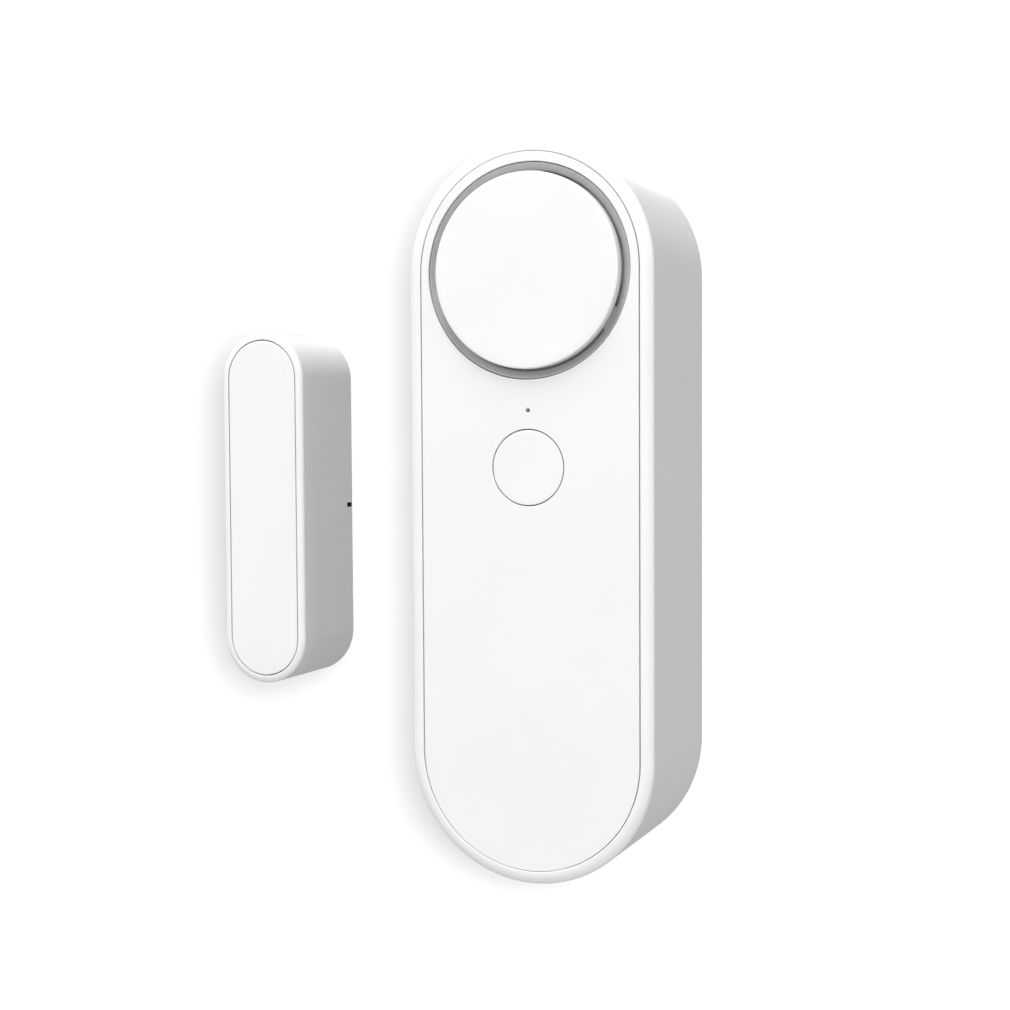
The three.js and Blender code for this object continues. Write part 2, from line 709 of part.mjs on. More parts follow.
function addSiren(unit) {
  const disc = ({ radius, back, front }, sides) => cylinder(radius, back, front, 0, 0, sides);
  const seal = ring(GASKET.inner, GASKET.outer, GASKET.back, GASKET.front);
  unit.add(at(piece('siren_cap', sirenCap(), paint.white), 0, SIREN_Y));
  unit.add(at(piece('siren_ring', sirenRing(), paint.grey), 0, SIREN_Y));
  unit.add(at(piece('siren_chamber', sirenChamber(), paint.dark), 0, SIREN_Y));
  unit.add(at(piece('siren_diaphragm', disc(DIAPHRAGM, SIREN_SIDES), paint.brass), 0, SIREN_Y));
  unit.add(at(piece('siren_piezo', disc(PIEZO, ROUND_SIDES), paint.ceramic), 0, SIREN_Y));
  unit.add(at(piece('siren_gasket', seal, paint.foam), 0, SIREN_Y));
  FLANGE_SCREW_SPOTS.forEach(([x, y], i) => {
    unit.add(at(piece(`siren_screw_${i + 1}`, screw(SIREN_SCREW), paint.steel), x, y, SIREN_SCREW.back));
  });
  unit.add(piece('siren_wire_red', sirenWire(-SIREN_WIRE_X), paint.redWire));
  unit.add(piece('siren_wire_black', sirenWire(SIREN_WIRE_X), paint.blackWire));
}

function addButtonAndLight(unit) {
  unit.add(at(piece('button_cap', buttonCap(), paint.white), 0, BUTTON_Y));
  unit.add(at(piece('tact_switch', tactSwitch(), paint.dark), 0, BUTTON_Y));
  unit.add(at(piece('tact_switch_plunger', switchPlunger(), paint.dark), 0, BUTTON_Y));
  unit.add(at(piece('led_light_pipe', lightPipe(), paint.clear), 0, LIGHT_Y));
  unit.add(at(piece('status_led', statusLed(), paint.clear), 0, LIGHT_Y));
}

function addBoard(unit) {
  unit.add(piece('main_circuit_board', mainBoard(), paint.board));
  unit.add(at(piece('radio_board', radioBoard(), paint.board), RADIO_BOARD.x, RADIO_BOARD.y));
  unit.add(at(piece('radio_shield', radioShield(), paint.tin), RADIO_SHIELD.x, RADIO_SHIELD.y));
  unit.add(at(piece('boost_inductor', inductor(), paint.dark), INDUCTOR.x, INDUCTOR.y));
  unit.add(at(piece('storage_capacitor', capacitor(), paint.tin), CAPACITOR.x, CAPACITOR.y));
  unit.add(at(piece('reed_switch_glass', reedGlass(), paint.clear), REED.x, REED.y, REED.z));
  unit.add(at(piece('reed_lead_upper', reedLead(1), paint.steel), REED.x, REED.y, REED.z));
  unit.add(at(piece('reed_lead_lower', reedLead(-1), paint.steel), REED.x, REED.y, REED.z));
  BOARD_SCREW_SPOTS.forEach(([x, y], i) => {
    unit.add(at(piece(`board_screw_${i + 1}`, screw(BOARD_SCREW), paint.steel), x, y, BOARD_SCREW.back));
  });
}

function addPower(unit) {
  unit.add(piece('battery_tray', batteryTray(), paint.dark));
  unit.add(at(piece('battery_1', cell(), paint.cell), -CELL.x, CELL_1_TOP - CELL.length, CELL.z));
  const upsideDown = at(piece('battery_2', cell(), paint.cell), CELL.x, CELL_2_BOTTOM + CELL.length, CELL.z);
  upsideDown.rotation.z = Math.PI;
  unit.add(upsideDown);

  const topContact = TRAY.top - TRAY.endWall - CONTACT.thickness - LAYER_GAP;
  const bridge = TRAY.bottom + TRAY.endWall + LAYER_GAP;
  const { inner, outer } = CONTACT;
  unit.add(at(piece('contact_positive', contactPlate(-outer, -inner), paint.steel), 0, topContact));
  unit.add(at(piece('contact_negative', contactPlate(inner, outer), paint.steel), 0, topContact));
  unit.add(at(piece('contact_bridge', contactPlate(-outer, outer), paint.steel), 0, bridge));

  const lift = SPRING.wire + LAYER_GAP;
  const lowSpring = piece('battery_spring_1', contactSpring(), paint.steel);
  unit.add(at(lowSpring, -CELL.x, bridge + CONTACT.thickness + lift, CELL.z));
  const highSpring = piece('battery_spring_2', contactSpring(), paint.steel);
  highSpring.rotation.z = Math.PI;
  unit.add(at(highSpring, CELL.x, topContact - lift, CELL.z));
  TRAY_SCREW_SPOTS.forEach(([x, y], i) => {
    unit.add(at(piece(`tray_screw_${i + 1}`, screw(TRAY_SCREW), paint.steel), x, y, TRAY_SCREW.back));
  });
}

function sensorUnit() {
  const unit = new THREE.Group();
  addCasing(unit);
  addSiren(unit);
  addButtonAndLight(unit);
  addBoard(unit);
  addPower(unit);
  return unit;
}

function magnetUnit() {
  const unit = new THREE.Group();
  const pad = plate(stadium(MAGNET_PAD.radius, MAGNET_PAD.reach), PAD.back, PAD.front);
  unit.add(piece('magnet_adhesive_pad', pad, paint.foam));
  unit.add(piece('magnet_rear_cover', magnetRearCover(), paint.white));
  unit.add(piece('magnet_housing', magnetHousing(), paint.white));
  unit.add(piece('magnet_front_panel', magnetPanel(), paint.panel));
  unit.add(piece('magnet_cradle', magnetCradle(), paint.white));
  unit.add(piece('magnet_bar', magnetBar(), paint.magnet));
  unit.position.set(MAGNET_X, MAGNET_Y, 0);
  return unit;
}

const contactSensor = new THREE.Group();
contactSensor.add(sensorUnit(), magnetUnit());
contactSensor.rotation.x = Math.PI / 2;

export default contactSensor;
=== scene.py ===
"""Looks for the door contact sensor: a siren unit and a magnet unit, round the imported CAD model."""
import json
import math

import bmesh
import bpy
from mathutils import Matrix, Vector


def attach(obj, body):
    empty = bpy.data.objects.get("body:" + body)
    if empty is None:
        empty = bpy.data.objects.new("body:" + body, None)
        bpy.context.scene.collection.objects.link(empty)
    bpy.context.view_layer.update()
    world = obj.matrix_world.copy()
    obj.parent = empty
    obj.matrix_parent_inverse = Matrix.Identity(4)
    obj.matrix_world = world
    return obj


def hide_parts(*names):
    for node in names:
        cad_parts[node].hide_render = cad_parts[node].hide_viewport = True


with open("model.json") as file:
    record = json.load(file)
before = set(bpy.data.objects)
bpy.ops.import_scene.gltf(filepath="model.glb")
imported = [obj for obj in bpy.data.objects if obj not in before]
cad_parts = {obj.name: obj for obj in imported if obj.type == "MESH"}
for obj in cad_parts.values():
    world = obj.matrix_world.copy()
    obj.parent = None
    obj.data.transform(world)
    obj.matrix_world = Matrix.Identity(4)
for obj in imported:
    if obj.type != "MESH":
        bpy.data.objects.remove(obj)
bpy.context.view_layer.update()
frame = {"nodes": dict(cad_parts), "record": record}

MM = 0.001

# ---------------------------------------------------------------- driving dimensions, in mm
# x is to the right, "up" above the middle of the sensor, "out" away from the wall.

ARC_STEPS = 48         # segments in a half-round end
FINE_SIDES = 128       # round the siren's ring and cap
BUTTON_SIDES = 96
ROUND_SIDES = 64       # round a cell or a plain hole
COMPONENT_SIDES = 48
SCREW_SIDES = 40
SMALL_SIDES = 32
TINY_SIDES = 24        # round the light's openings
WIRE_SIDES = 12
CURVE_STEPS = 8        # points on a wire between two of its corners
SHARP_ANGLE = 40       # degrees; a steeper edge is drawn as an edge, a flatter one as a curve

SENSOR_RADIUS = 17.9
SENSOR_REACH = 33.4    # centre of each end arc, above and below the middle
SENSOR_WALL = 1.8
SENSOR_FACE = 24.7
SENSOR_RIM = (0.6, 2.6)    # radii of the rim's tight outer edge and of its wide crown
INSIDE_REACH = 33.5    # the opening is a little longer than the outline
CLEARANCE = 0.16       # round a panel or button that sits inside an opening
PANEL_RADIUS = SENSOR_RADIUS - SENSOR_WALL - CLEARANCE
PANEL_BACK = 22.3
BULKHEAD_BACK = 20.8
BULKHEAD_FRONT = 22.2
PAD_FRONT = 0.75
REAR_EDGE = 0.8        # back edge of both housings
REAR_PLATE_FRONT = 2.6
RIM_LEAN = math.radians(30)    # where a rim's wide crown turns into its tight outer edge
EDGE = 0.1             # rounding of the edges at the panel's grooves
MOULD_EDGE = 0.3       # rounding of a housing's back edges
REAR_PLATE_RADIUS = 15.9
REAR_TABS = (
    # left, right, bottom, top
    (14.5, 15.7, 14, 30),
    (-15.7, -14.5, 14, 30),
    (-3, 3, -49, -48),
)
TAB_ROOT = 0.3         # how deep a tab is rooted in the rear plate
TAB_REACH = 4          # how far it stands in front of it
TAB_LEAD_IN = 0.4
SENSOR_PAD = (13.5, 31)    # radius and reach of the adhesive pad

SIREN_UP = SENSOR_REACH - 0.1
RING_RADIUS = 14.7
RING_GAP = 0.1         # between the ring and the panel
RING_DROP = 0.05       # how far the ring's outer edge sits below the face
THROAT_RADIUS = 13.62
THROAT = SENSOR_FACE - 1.0
CAP_RADIUS = 13.37
CAP_FRONT = SENSOR_FACE + 0.9
CAP_BACK = THROAT + 0.1
CAP_EDGE = 0.2
PEG_RADIUS = 1.5       # the peg under the cap, in the ring's hub
PEG_BACK = PANEL_BACK + 0.1
HUB_BORE = 1.62
HUB_RADIUS = 4
SPOKE_ANGLES = (90, 210, 330)
SPOKE_START = 3.9      # just inside the hub
SPOKE_END = THROAT_RADIUS + 0.3    # just inside the ring
SPOKE_WIDTH = 3.4
SIREN_OPENING = 12.8   # radius of the bulkhead's opening behind the siren
SIREN_SCREW_CIRCLE = 14.2
SIREN_SCREW_BACK = 18.4

BUTTON_UP = 6.45
BUTTON_RADIUS = 5.15
BUTTON_OPENING = 6.6   # radius of the bulkhead's opening behind the button
BUTTON_FLANGE_RADIUS = 6.2    # the button's flange keeps it behind the panel
BUTTON_FLANGE_BACK = 21.6
BUTTON_FLANGE_FRONT = 22.2
BUTTON_STEM_RADIUS = 1.6      # the button's stem presses the switch
BUTTON_STEM_BACK = 20.5
LIGHT_UP = 14.3
LIGHT_HOLE_RADIUS = 0.32
LIGHT_OPENING = 1.2    # radius of the bulkhead's opening behind the light
PIPE_RADIUS = 1.0      # the light pipe's barrel, and the thin tip behind the panel's hole
PIPE_BACK = 17.6
PIPE_SHOULDER = 22.1
PIPE_TIP_RADIUS = 0.2
PIPE_TIP = 23.2

BOARD_FRONT = 16.45    # where the components stand
TRAY_SCREW = (9.3, 9.5)
TRAY_SCREW_BACK = 12.35
BOARD_SCREW = (13.5, -28)
BOARD_SCREW_BACK = 13.9
THREAD_PITCH = 0.6
INDUCTOR = (8.5, -32)
CAPACITOR = (-6, -34)
REED_X = -13
REED_OUT = 18
REED_BOTTOM = -8.0
REED_TOP = 4.0
REED_RADIUS = 1.1
REED_SEAL_RADIUS = 0.62    # where the glass closes round the leads
REED_TAPER = 1.1       # length of each closed end
SIREN_WIRE_X = 1.2
SIREN_WIRE_RADIUS = 0.45

MAGNET_X = -46.65
MAGNET_UP = -0.2
MAGNET_RADIUS = 6.95
MAGNET_REACH = 19.75
MAGNET_WALL = 1.09
MAGNET_FACE = 16.8
MAGNET_RIM = (0.45, 1.55)
MAGNET_PANEL_RADIUS = MAGNET_RADIUS - MAGNET_WALL - CLEARANCE
MAGNET_LEDGE = 1.2     # how far the ledge that carries the panel stands in
MAGNET_LEDGE_BACK = 13.9
MAGNET_LEDGE_FRONT = 14.9
MAGNET_COVER_FRONT = 2.2
MAGNET_PAD = (4.6, 18.5)
MARK_HALF_HEIGHT = 0.35    # the alignment mark on the side that faces the sensor
MARK_BACK = 1.2
MARK_FRONT = 2.7
MARK_DEPTH = 0.5

CELL_RADIUS = 5.25
CELL_LENGTH = 44.5
CELL_X = 5.35
CELL_OUT = 8.3
CELL_1_TOP = 5.0
CELL_2_BOTTOM = -42.4
NUB_RADIUS = 1.9       # a cell's positive nub
NUB_HEIGHT = 0.9
CELL_DISH = 0.25       # how deep a cell's metal ends sit inside the sleeve's rolled edge
SLEEVE_LIP = 4.35      # radius inside which a cell's end is bare metal
SPRING_1_BASE = -42.1
SPRING_2_BASE = 5.1
SPRING_BASE_RADIUS = 3.2
SPRING_TIP_RADIUS = 2.0
SPRING_HEIGHT = 2.3
SPRING_TURNS = 3
SPRING_STEPS = 96
SPRING_WIRE_RADIUS = 0.3

# ---------------------------------------------------------------- studio and camera, in metres

MIDDLE = Vector((-0.02, -0.012, 0))    # between the two units
FLOOR = -0.30
BACKDROP = 0.38
BEND_RADIUS = 0.15     # where the floor curves up into the backdrop
BEND_STEPS = 16
SWEEP_SIDE = 3.0       # how far the floor runs forward and to each side
SWEEP_TOP = 2.0
SWEEP_MIDDLE = (-0.172, BACKDROP, -0.018)    # the point behind the object, seen from the camera; the painted shade centres here
PAINTED_SHADE_NEAR = (0.14, 0.48)    # distance from that point, and the paper's dimmed glow there: painted shade
GLOW_FAR = (0.34, 1.0)
PAPER = (0.1, 0.1, 0.1)
WORLD_STRENGTH = 0.36
SOFTBOXES = (
    # name, azimuth and elevation in degrees, size, level next to an even world of strength 1
    ("key_light", 8, 10, 0.5, 0.21),
    ("side_light", 75, 5, 0.5, 0.24),
    ("left_light", -35, 42, 0.4, 0.32),
    ("high_light", -10, 75, 0.3, 0.8),
    ("low_fill", 0, -35, 0.6, 0.17),
    ("rear_fill", 194, 12, 0.25, 0.42),
)
SHADOW_LIGHT_SIZE = 0.016
SHADOW_LIGHT_POWER = 27
SHADOW_LIGHT_OFFSET = Vector((0.0030, 0.0020, 0.004))    # from the camera, along its own axes
CAMERA_PLACE = (0.08532, -0.23721, 0.01258)
CAMERA_ANGLES = (22.664, 2.805, -0.319)    # azimuth, elevation and a slight roll, in degrees
CAMERA_LENS = 59.617    # in millimetres, as is the width of its film
FILM_WIDTH = 36
CAMERA_NEAR = 0.01
CAMERA_FAR = 20

BODY_OF = {
    node: body
    for body, nodes in frame["record"]["behaviour"]["bodies"].items()
    for node in nodes
}


def place(x, up, out):
    """The CAD frame's point that is x mm to the right, up mm high and out mm from the wall."""
    return Vector((x * MM, -out * MM, up * MM))


# ---------------------------------------------------------------- material building blocks

NOISE_RANGE = (0.3, 0.7)    # where nearly all of a noise's values fall


class Nodes:
    """A material's node tree, with short calls for the nodes that the finishes below share."""

    def __init__(self, name):
        self.material = bpy.data.materials.new(name)
        self.material.use_nodes = True
        self.tree = self.material.node_tree
        self.shader = self.tree.nodes["Principled BSDF"]
        self.coords = self.add("ShaderNodeTexCoord").outputs["Object"]

    def add(self, kind, **settings):
        """A new node of this kind, with its settings."""
        node = self.tree.nodes.new(kind)
        for key, value in settings.items():
            setattr(node, key, value)
        return node

    def link(self, output, socket):
        self.tree.links.new(output, socket)

    def stretched(self, x, y, z):
        """The object's coordinates, with each axis scaled."""
        mapping = self.add("ShaderNodeMapping")
        mapping.inputs["Scale"].default_value = (x, y, z)
        self.link(self.coords, mapping.inputs["Vector"])
        return mapping.outputs["Vector"]

    def noise(self, size_mm, detail, vector=None):
        """Noise whose features are about size_mm across."""
        node = self.add("ShaderNodeTexNoise")
        node.inputs["Scale"].default_value = 1 / (size_mm * MM)
        node.inputs["Detail"].default_value = detail
        self.link(vector or self.coords, node.inputs["Vector"])
        return node.outputs["Fac"]

    def cells(self, size_mm, metric="EUCLIDEAN"):
        """Distance from the middle of cells that are about size_mm across."""
        node = self.add("ShaderNodeTexVoronoi", feature="F1", distance=metric)
        node.inputs["Scale"].default_value = 1 / (size_mm * MM)
        self.link(self.coords, node.inputs["Vector"])
        return node.outputs["Distance"]

    def spread(self, value, low, high, to_low, to_high):
        """Value remapped from the range low to high onto to_low to to_high."""
        node = self.add("ShaderNodeMapRange")
        node.inputs["From Min"].default_value = low
        node.inputs["From Max"].default_value = high
        node.inputs["To Min"].default_value = to_low
        node.inputs["To Max"].default_value = to_high
        self.link(value, node.inputs["Value"])
        return node.outputs["Result"]

    def maths(self, operation, first, second):
        """A sum on two values, each a number or an output."""
        node = self.add("ShaderNodeMath", operation=operation)
        for socket, value in zip(node.inputs, (first, second)):
            if isinstance(value, (int, float)):
                socket.default_value = value
            else:
                self.link(value, socket)
        return node.outputs["Value"]

    def blend(self, factor, first, second):
        """Colour first where factor is 0 and second where it is 1; each is a colour or an output."""
        node = self.add("ShaderNodeMix", data_type="RGBA")
        self.link(factor, node.inputs["Factor"])
        for socket, value in ((node.inputs[6], first), (node.inputs[7], second)):
            if isinstance(value, tuple):
                socket.default_value = (*value, 1)
            else:
                self.link(value, socket)
        return node.outputs[2]

    def edges(self, radius_mm):
        """1 along convex and concave edges, 0 on flat faces."""
        flat, bent = 0.002, 0.08
        bevel = self.add("ShaderNodeBevel", samples=4)
        bevel.inputs["Radius"].default_value = radius_mm * MM
        geometry = self.add("ShaderNodeNewGeometry")
        dot = self.add("ShaderNodeVectorMath", operation="DOT_PRODUCT")
        self.link(bevel.outputs["Normal"], dot.inputs[0])
        self.link(geometry.outputs["Normal"], dot.inputs[1])
        bend = self.maths("SUBTRACT", 1.0, dot.outputs["Value"])
        return self.spread(bend, flat, bent, 0, 1)

    def bump(self, height, depth_mm):
        """Raises the surface by height, up to depth_mm."""
        node = self.add("ShaderNodeBump")
        node.inputs["Strength"].default_value = 1.0
        node.inputs["Distance"].default_value = depth_mm * MM
        self.link(height, node.inputs["Height"])
        self.link(node.outputs["Normal"], self.shader.inputs["Normal"])

    def colour(self, output):
        self.link(output, self.shader.inputs["Base Color"])

    def roughness(self, output):
        self.link(output, self.shader.inputs["Roughness"])

    def fixed(self, **values):
        """Even values, set on the shader's own sockets; _ in a name stands for a space."""
        for key, value in values.items():
            self.shader.inputs[key.replace("_", " ")].default_value = value


def shade(colour, factor):
    """The colour made lighter or darker."""
    return tuple(min(1.0, channel * factor) for channel in colour)


def moulded(name, colour, roughness, grain_mm=0.22, grain_depth=0.006, worn=1.03):
    """Spark-textured moulding: fine grain, faint flow clouds, edges polished by handling."""
    n = Nodes(name)
    clouds = n.noise(14, 3)
    base = n.blend(n.spread(clouds, *NOISE_RANGE, 0, 1), shade(colour, 0.985), shade(colour, 1.01))
    edge = n.edges(0.25)
    n.colour(n.blend(n.maths("MULTIPLY", edge, 0.6), base, shade(colour, worn)))
    grain = n.noise(grain_mm, 3)
    grained = n.spread(grain, *NOISE_RANGE, roughness - 0.05, roughness + 0.05)
    n.roughness(n.maths("SUBTRACT", grained, n.maths("MULTIPLY", edge, 0.1)))
    n.bump(grain, grain_depth)
    n.fixed(IOR=1.49)
    return n.material


def metal(name, colour, roughness, brushed=(1, 1, 1), brush_mm=0.15, grain_depth=0.004):
    """Plated or rolled metal: directional brush marks, cloudy tarnish and bright worn edges."""
    n = Nodes(name)
    tarnish = n.noise(4, 4)
    base = n.blend(n.spread(tarnish, 0.35, 0.7, 0, 1), shade(colour, 0.86), shade(colour, 1.05))
    edge = n.edges(0.15)
    n.colour(n.blend(n.maths("MULTIPLY", edge, 0.7), base, shade(colour, 1.25)))
    marks = n.noise(brush_mm, 4, n.stretched(*brushed))
    n.roughness(n.spread(marks, *NOISE_RANGE, roughness * 0.75, roughness * 1.25))
    n.bump(marks, grain_depth)
    n.fixed(Metallic=1.0)
    return n.material


def foam_tape():
    """Closed-cell foam: open pores on the cut edge, pale and matt, with painted shade in the pores.
    """
    n = Nodes("foam_tape")
    pores = n.cells(0.35)
    speckle = n.noise(2.5, 3)
    # the pores are painted darker than the foam round them: painted shade in their hollows
    base = n.blend(n.spread(pores, 0.0, 0.7, 0, 1), (0.46, 0.47, 0.48), (0.72, 0.73, 0.73))
    n.colour(n.blend(n.spread(speckle, 0.4, 0.75, 0, 0.35), base, (0.8, 0.8, 0.79)))
    n.roughness(n.spread(pores, 0, 0.8, 0.98, 0.85))
    n.bump(pores, 0.08)
    n.fixed(Sheen_Weight=0.15)
    return n.material


def circuit_board():
    """Green solder mask over copper tracks, with tinned pads and faint clouds."""
    n = Nodes("circuit_board")
    tracks = n.cells(2.6, "MANHATTAN")
    lines = n.maths("PINGPONG", tracks, 0.16)
    copper = n.spread(lines, 0.07, 0.09, 0, 1)
    mask = n.blend(copper, (0.012, 0.075, 0.038), (0.02, 0.14, 0.065))
    pads = n.cells(3.4)
    tinned = n.spread(pads, 0.13, 0.15, 1, 0)
    clouds = n.noise(9, 3)
    varied = n.blend(n.spread(clouds, 0.35, 0.7, 0, 0.25), mask, (0.03, 0.16, 0.08))
    n.colour(n.blend(tinned, varied, (0.62, 0.61, 0.57)))
    n.roughness(n.spread(tinned, 0, 1, 0.34, 0.28))
    n.link(tinned, n.shader.inputs["Metallic"])
    n.bump(n.maths("ADD", copper, tinned), 0.03)
    n.fixed(IOR=1.52)
    return n.material


def clear_plastic(name, tint, roughness=0.12, transmission=0.85):
    """Clear plastic or glass with a faint, uneven haze."""
    n = Nodes(name)
    haze = n.noise(0.8, 3)
    n.colour(n.blend(n.spread(haze, *NOISE_RANGE, 0, 1), shade(tint, 0.9), tint))
    n.roughness(n.spread(haze, *NOISE_RANGE, roughness * 0.7, roughness * 1.4))
    n.bump(haze, 0.004)
    n.fixed(Transmission_Weight=transmission, IOR=1.49)
    return n.material


def battery_sleeve(name, positive_up):
    """Glossy shrink sleeve: a dark barrel with a copper-coloured band at the positive end."""
    n = Nodes(name)
    bottom = CELL_1_TOP - CELL_LENGTH if positive_up else CELL_2_BOTTOM
    height = n.add("ShaderNodeSeparateXYZ")
    n.link(n.coords, height.inputs["Vector"])
    share = n.spread(height.outputs["Z"], bottom * MM, (bottom + CELL_LENGTH) * MM, 0, 1)
    toward_plus = share if positive_up else n.maths("SUBTRACT", 1.0, share)
    band_start, band_blend = 0.70, 0.703
    band = n.spread(toward_plus, band_start, band_blend, 0, 1)
    fine = n.noise(0.6, 4, n.stretched(1, 1, 0.2))
    barrel = n.blend(n.spread(fine, *NOISE_RANGE, 0, 1), (0.018, 0.026, 0.04), (0.03, 0.042, 0.062))
    copper = n.blend(n.spread(fine, *NOISE_RANGE, 0, 1), (0.52, 0.27, 0.12), (0.66, 0.37, 0.18))
    n.colour(n.blend(band, barrel, copper))
    n.link(n.maths("MULTIPLY", band, 0.8), n.shader.inputs["Metallic"])
    n.roughness(n.spread(fine, *NOISE_RANGE, 0.2, 0.32))
    n.bump(fine, 0.006)
    n.fixed(Coat_Weight=0.5, Coat_Roughness=0.12)
    return n.material


def ceramic():
    """Pale fired ceramic with a fine grain."""
    n = Nodes("piezo_ceramic")
    grain = n.noise(0.5, 4)
    n.colour(n.blend(n.spread(grain, *NOISE_RANGE, 0, 1), (0.62, 0.6, 0.54), (0.8, 0.78, 0.72)))
    n.roughness(n.spread(grain, *NOISE_RANGE, 0.4, 0.6))
    n.bump(grain, 0.01)
    return n.material


WHITE = (0.86, 0.86, 0.858)
PANEL_WHITE = (0.85, 0.85, 0.848)
white = moulded("white_plastic", WHITE, 0.42)
panel_white = moulded("panel_plastic", PANEL_WHITE, 0.5)
# the siren ring's mid grey is partly its own colour and partly painted shade in its trough
grey = moulded("grey_plastic", (0.42, 0.42, 0.425), 0.48, worn=1.15)
dark = moulded("dark_plastic", (0.022, 0.023, 0.025), 0.5, worn=1.8)
mark_black = moulded("mark_black_and_painted_shade", (0.03, 0.03, 0.032), 0.6, worn=1.5)
ferrite = moulded("ferrite", (0.035, 0.034, 0.036), 0.7, grain_mm=0.4, grain_depth=0.03, worn=1.8)
red_wire = moulded("red_insulation", (0.5, 0.02, 0.02), 0.35, grain_mm=0.6, worn=1.2)
black_wire = moulded("black_insulation", (0.02, 0.02, 0.021), 0.35, grain_mm=0.6, worn=1.5)
foam = foam_tape()
board = circuit_board()
clear = clear_plastic("clear_plastic", (0.8, 0.84, 0.84))
glass = clear_plastic("reed_glass", (0.72, 0.84, 0.76), roughness=0.05, transmission=0.95)
sleeve_up = battery_sleeve("battery_sleeve_1", True)
sleeve_down = battery_sleeve("battery_sleeve_2", False)
tin = metal("tinned_steel", (0.68, 0.69, 0.7), 0.32, brushed=(1, 1, 12))
zinc = metal("screw_steel", (0.52, 0.53, 0.55), 0.3, brush_mm=0.3)
nickel = metal("contact_nickel", (0.66, 0.65, 0.62), 0.25, brushed=(14, 1, 1))
brass = metal("brass_sheet", (0.72, 0.5, 0.2), 0.3, brushed=(1, 1, 10))
can = metal("capacitor_can", (0.68, 0.69, 0.7), 0.25, brush_mm=0.3)
plated = metal("magnet_plating", (0.58, 0.59, 0.6), 0.18, brush_mm=0.5)
piezo = ceramic()

# ---------------------------------------------------------------- mesh building blocks


def stadium(radius, reach, x=0, up=0):
    """An outline with half-round ends, as a function of how far in it is drawn."""
    def loop(inset):
        points = []
        drawn = radius - inset
        for end in (0, 1):
            height = up + (reach if end == 0 else -reach)
            for i in range(ARC_STEPS + 1):
                angle = math.pi * (i / ARC_STEPS + end)
                points.append((x + drawn * math.cos(angle), height + drawn * math.sin(angle)))
        return points
    return loop


def round_hole(radius, up, sides=ROUND_SIDES):
    """A round hole's outline on the middle line; drawing it in makes the hole larger."""
    def loop(inset):
        drawn = radius + inset
        turns = (2 * math.pi * i / sides for i in range(sides))
        return [(drawn * math.cos(t), up + drawn * math.sin(t)) for t in turns]
    return loop


def rounded(corners, closed=False, steps=5):
    """The line through corners (a, b, radius), with each corner's radius drawn as an arc."""
    points = []
    for i, (a, b, radius) in enumerate(corners):
        here = Vector((a, b))
        if radius == 0 or (not closed and i in (0, len(corners) - 1)):
            points.append(here)
            continue
        before = (Vector(corners[i - 1][:2]) - here).normalized()
        after = (Vector(corners[(i + 1) % len(corners)][:2]) - here).normalized()
        half = before.angle(after) / 2
        middle = here + (before + after).normalized() * (radius / math.sin(half))
        start = (here + before * (radius / math.tan(half)) - middle).normalized()
        end = (here + after * (radius / math.tan(half)) - middle).normalized()
        points += [middle + radius * start.slerp(end, k / steps) for k in range(steps + 1)]
    return points


def bridge(bm, first, second):
    """Faces between two rings of the same count; a ring of one vertex is a pole."""
    count = max(len(first), len(second))
    for i in range(count):
        corners = []
        for ring, order in ((first, (i, i + 1)), (second, (i + 1, i))):
            corners += [ring[k % len(ring)] for k in order]
        unique = list(dict.fromkeys(corners))
        if len(unique) > 2:
            bm.faces.new(unique)


def ring_edges(bm, ring):
    """The edges between each vertex of a ring and the one before it."""
    return [bm.edges.get((ring[i - 1], ring[i])) for i in range(len(ring))]


def finished(bm, name, paint, node, sharp=SHARP_ANGLE):
    """Makes the piece from its mesh, gives it its material, hangs it on its body and hides its CAD
    node.
    """
    bmesh.ops.recalc_face_normals(bm, faces=bm.faces)
    mesh = bpy.data.meshes.new(name)
    bm.to_mesh(mesh)
    bm.free()
    mesh.shade_smooth()
    mesh.set_sharp_from_angle(angle=math.radians(sharp))
    mesh.materials.append(paint)
    piece = bpy.data.objects.new(name, mesh)
    bpy.context.scene.collection.objects.link(piece)
    weighted = piece.modifiers.new("even_faces", "WEIGHTED_NORMAL")
    weighted.keep_sharp = True
    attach(piece, BODY_OF[node])
    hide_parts(node)
    return piece


def swept(outlines, closed=False):
    """A closed body made by drawing each outline's section round it.
    A section is a line of (inset, out) points. Unless it is closed, flat faces join the
    outlines at both its ends."""
    bm = bmesh.new()
    starts, ends = [], []
    for loop, section in outlines:
        rings = []
        for inset, out in section:
            rings.append([bm.verts.new(place(x, up, out)) for x, up in loop(inset)])
        for first, second in zip(rings, rings[1:]):
            bridge(bm, first, second)
        if closed:
            bridge(bm, rings[-1], rings[0])
        starts += ring_edges(bm, rings[0])
        ends += ring_edges(bm, rings[-1])
    if not closed:
        for edges in (starts, ends):
            bmesh.ops.triangle_fill(bm, use_beauty=True, use_dissolve=False, edges=edges)
    return bm


def facing(x, up, base=0):
    """Places a turned piece whose axis points out from the wall, measured from base."""
    def spot(radius, angle, along):
        return place(x + radius * math.cos(angle), up + radius * math.sin(angle), base + along)
    return spot


def standing(x, out, base=0):
    """Places a turned piece whose axis points up, measured from base."""
    def spot(radius, angle, along):
        return place(x + radius * math.cos(angle), base + along, out + radius * math.sin(angle))
    return spot


def turned(profile, spot, sides, closed=False, bm=None):
    """A body turned about an axis; its profile is a line of (radius, along) points."""
    bm = bm or bmesh.new()
    rings = []
    for radius, along in profile:
        count = 1 if radius < 1e-6 else sides
        angles = [2 * math.pi * i / sides for i in range(count)]
        rings.append([bm.verts.new(spot(radius, angle, along)) for angle in angles])
    for first, second in zip(rings, rings[1:]):
        bridge(bm, first, second)
    if closed:
        bridge(bm, rings[-1], rings[0])
    return bm


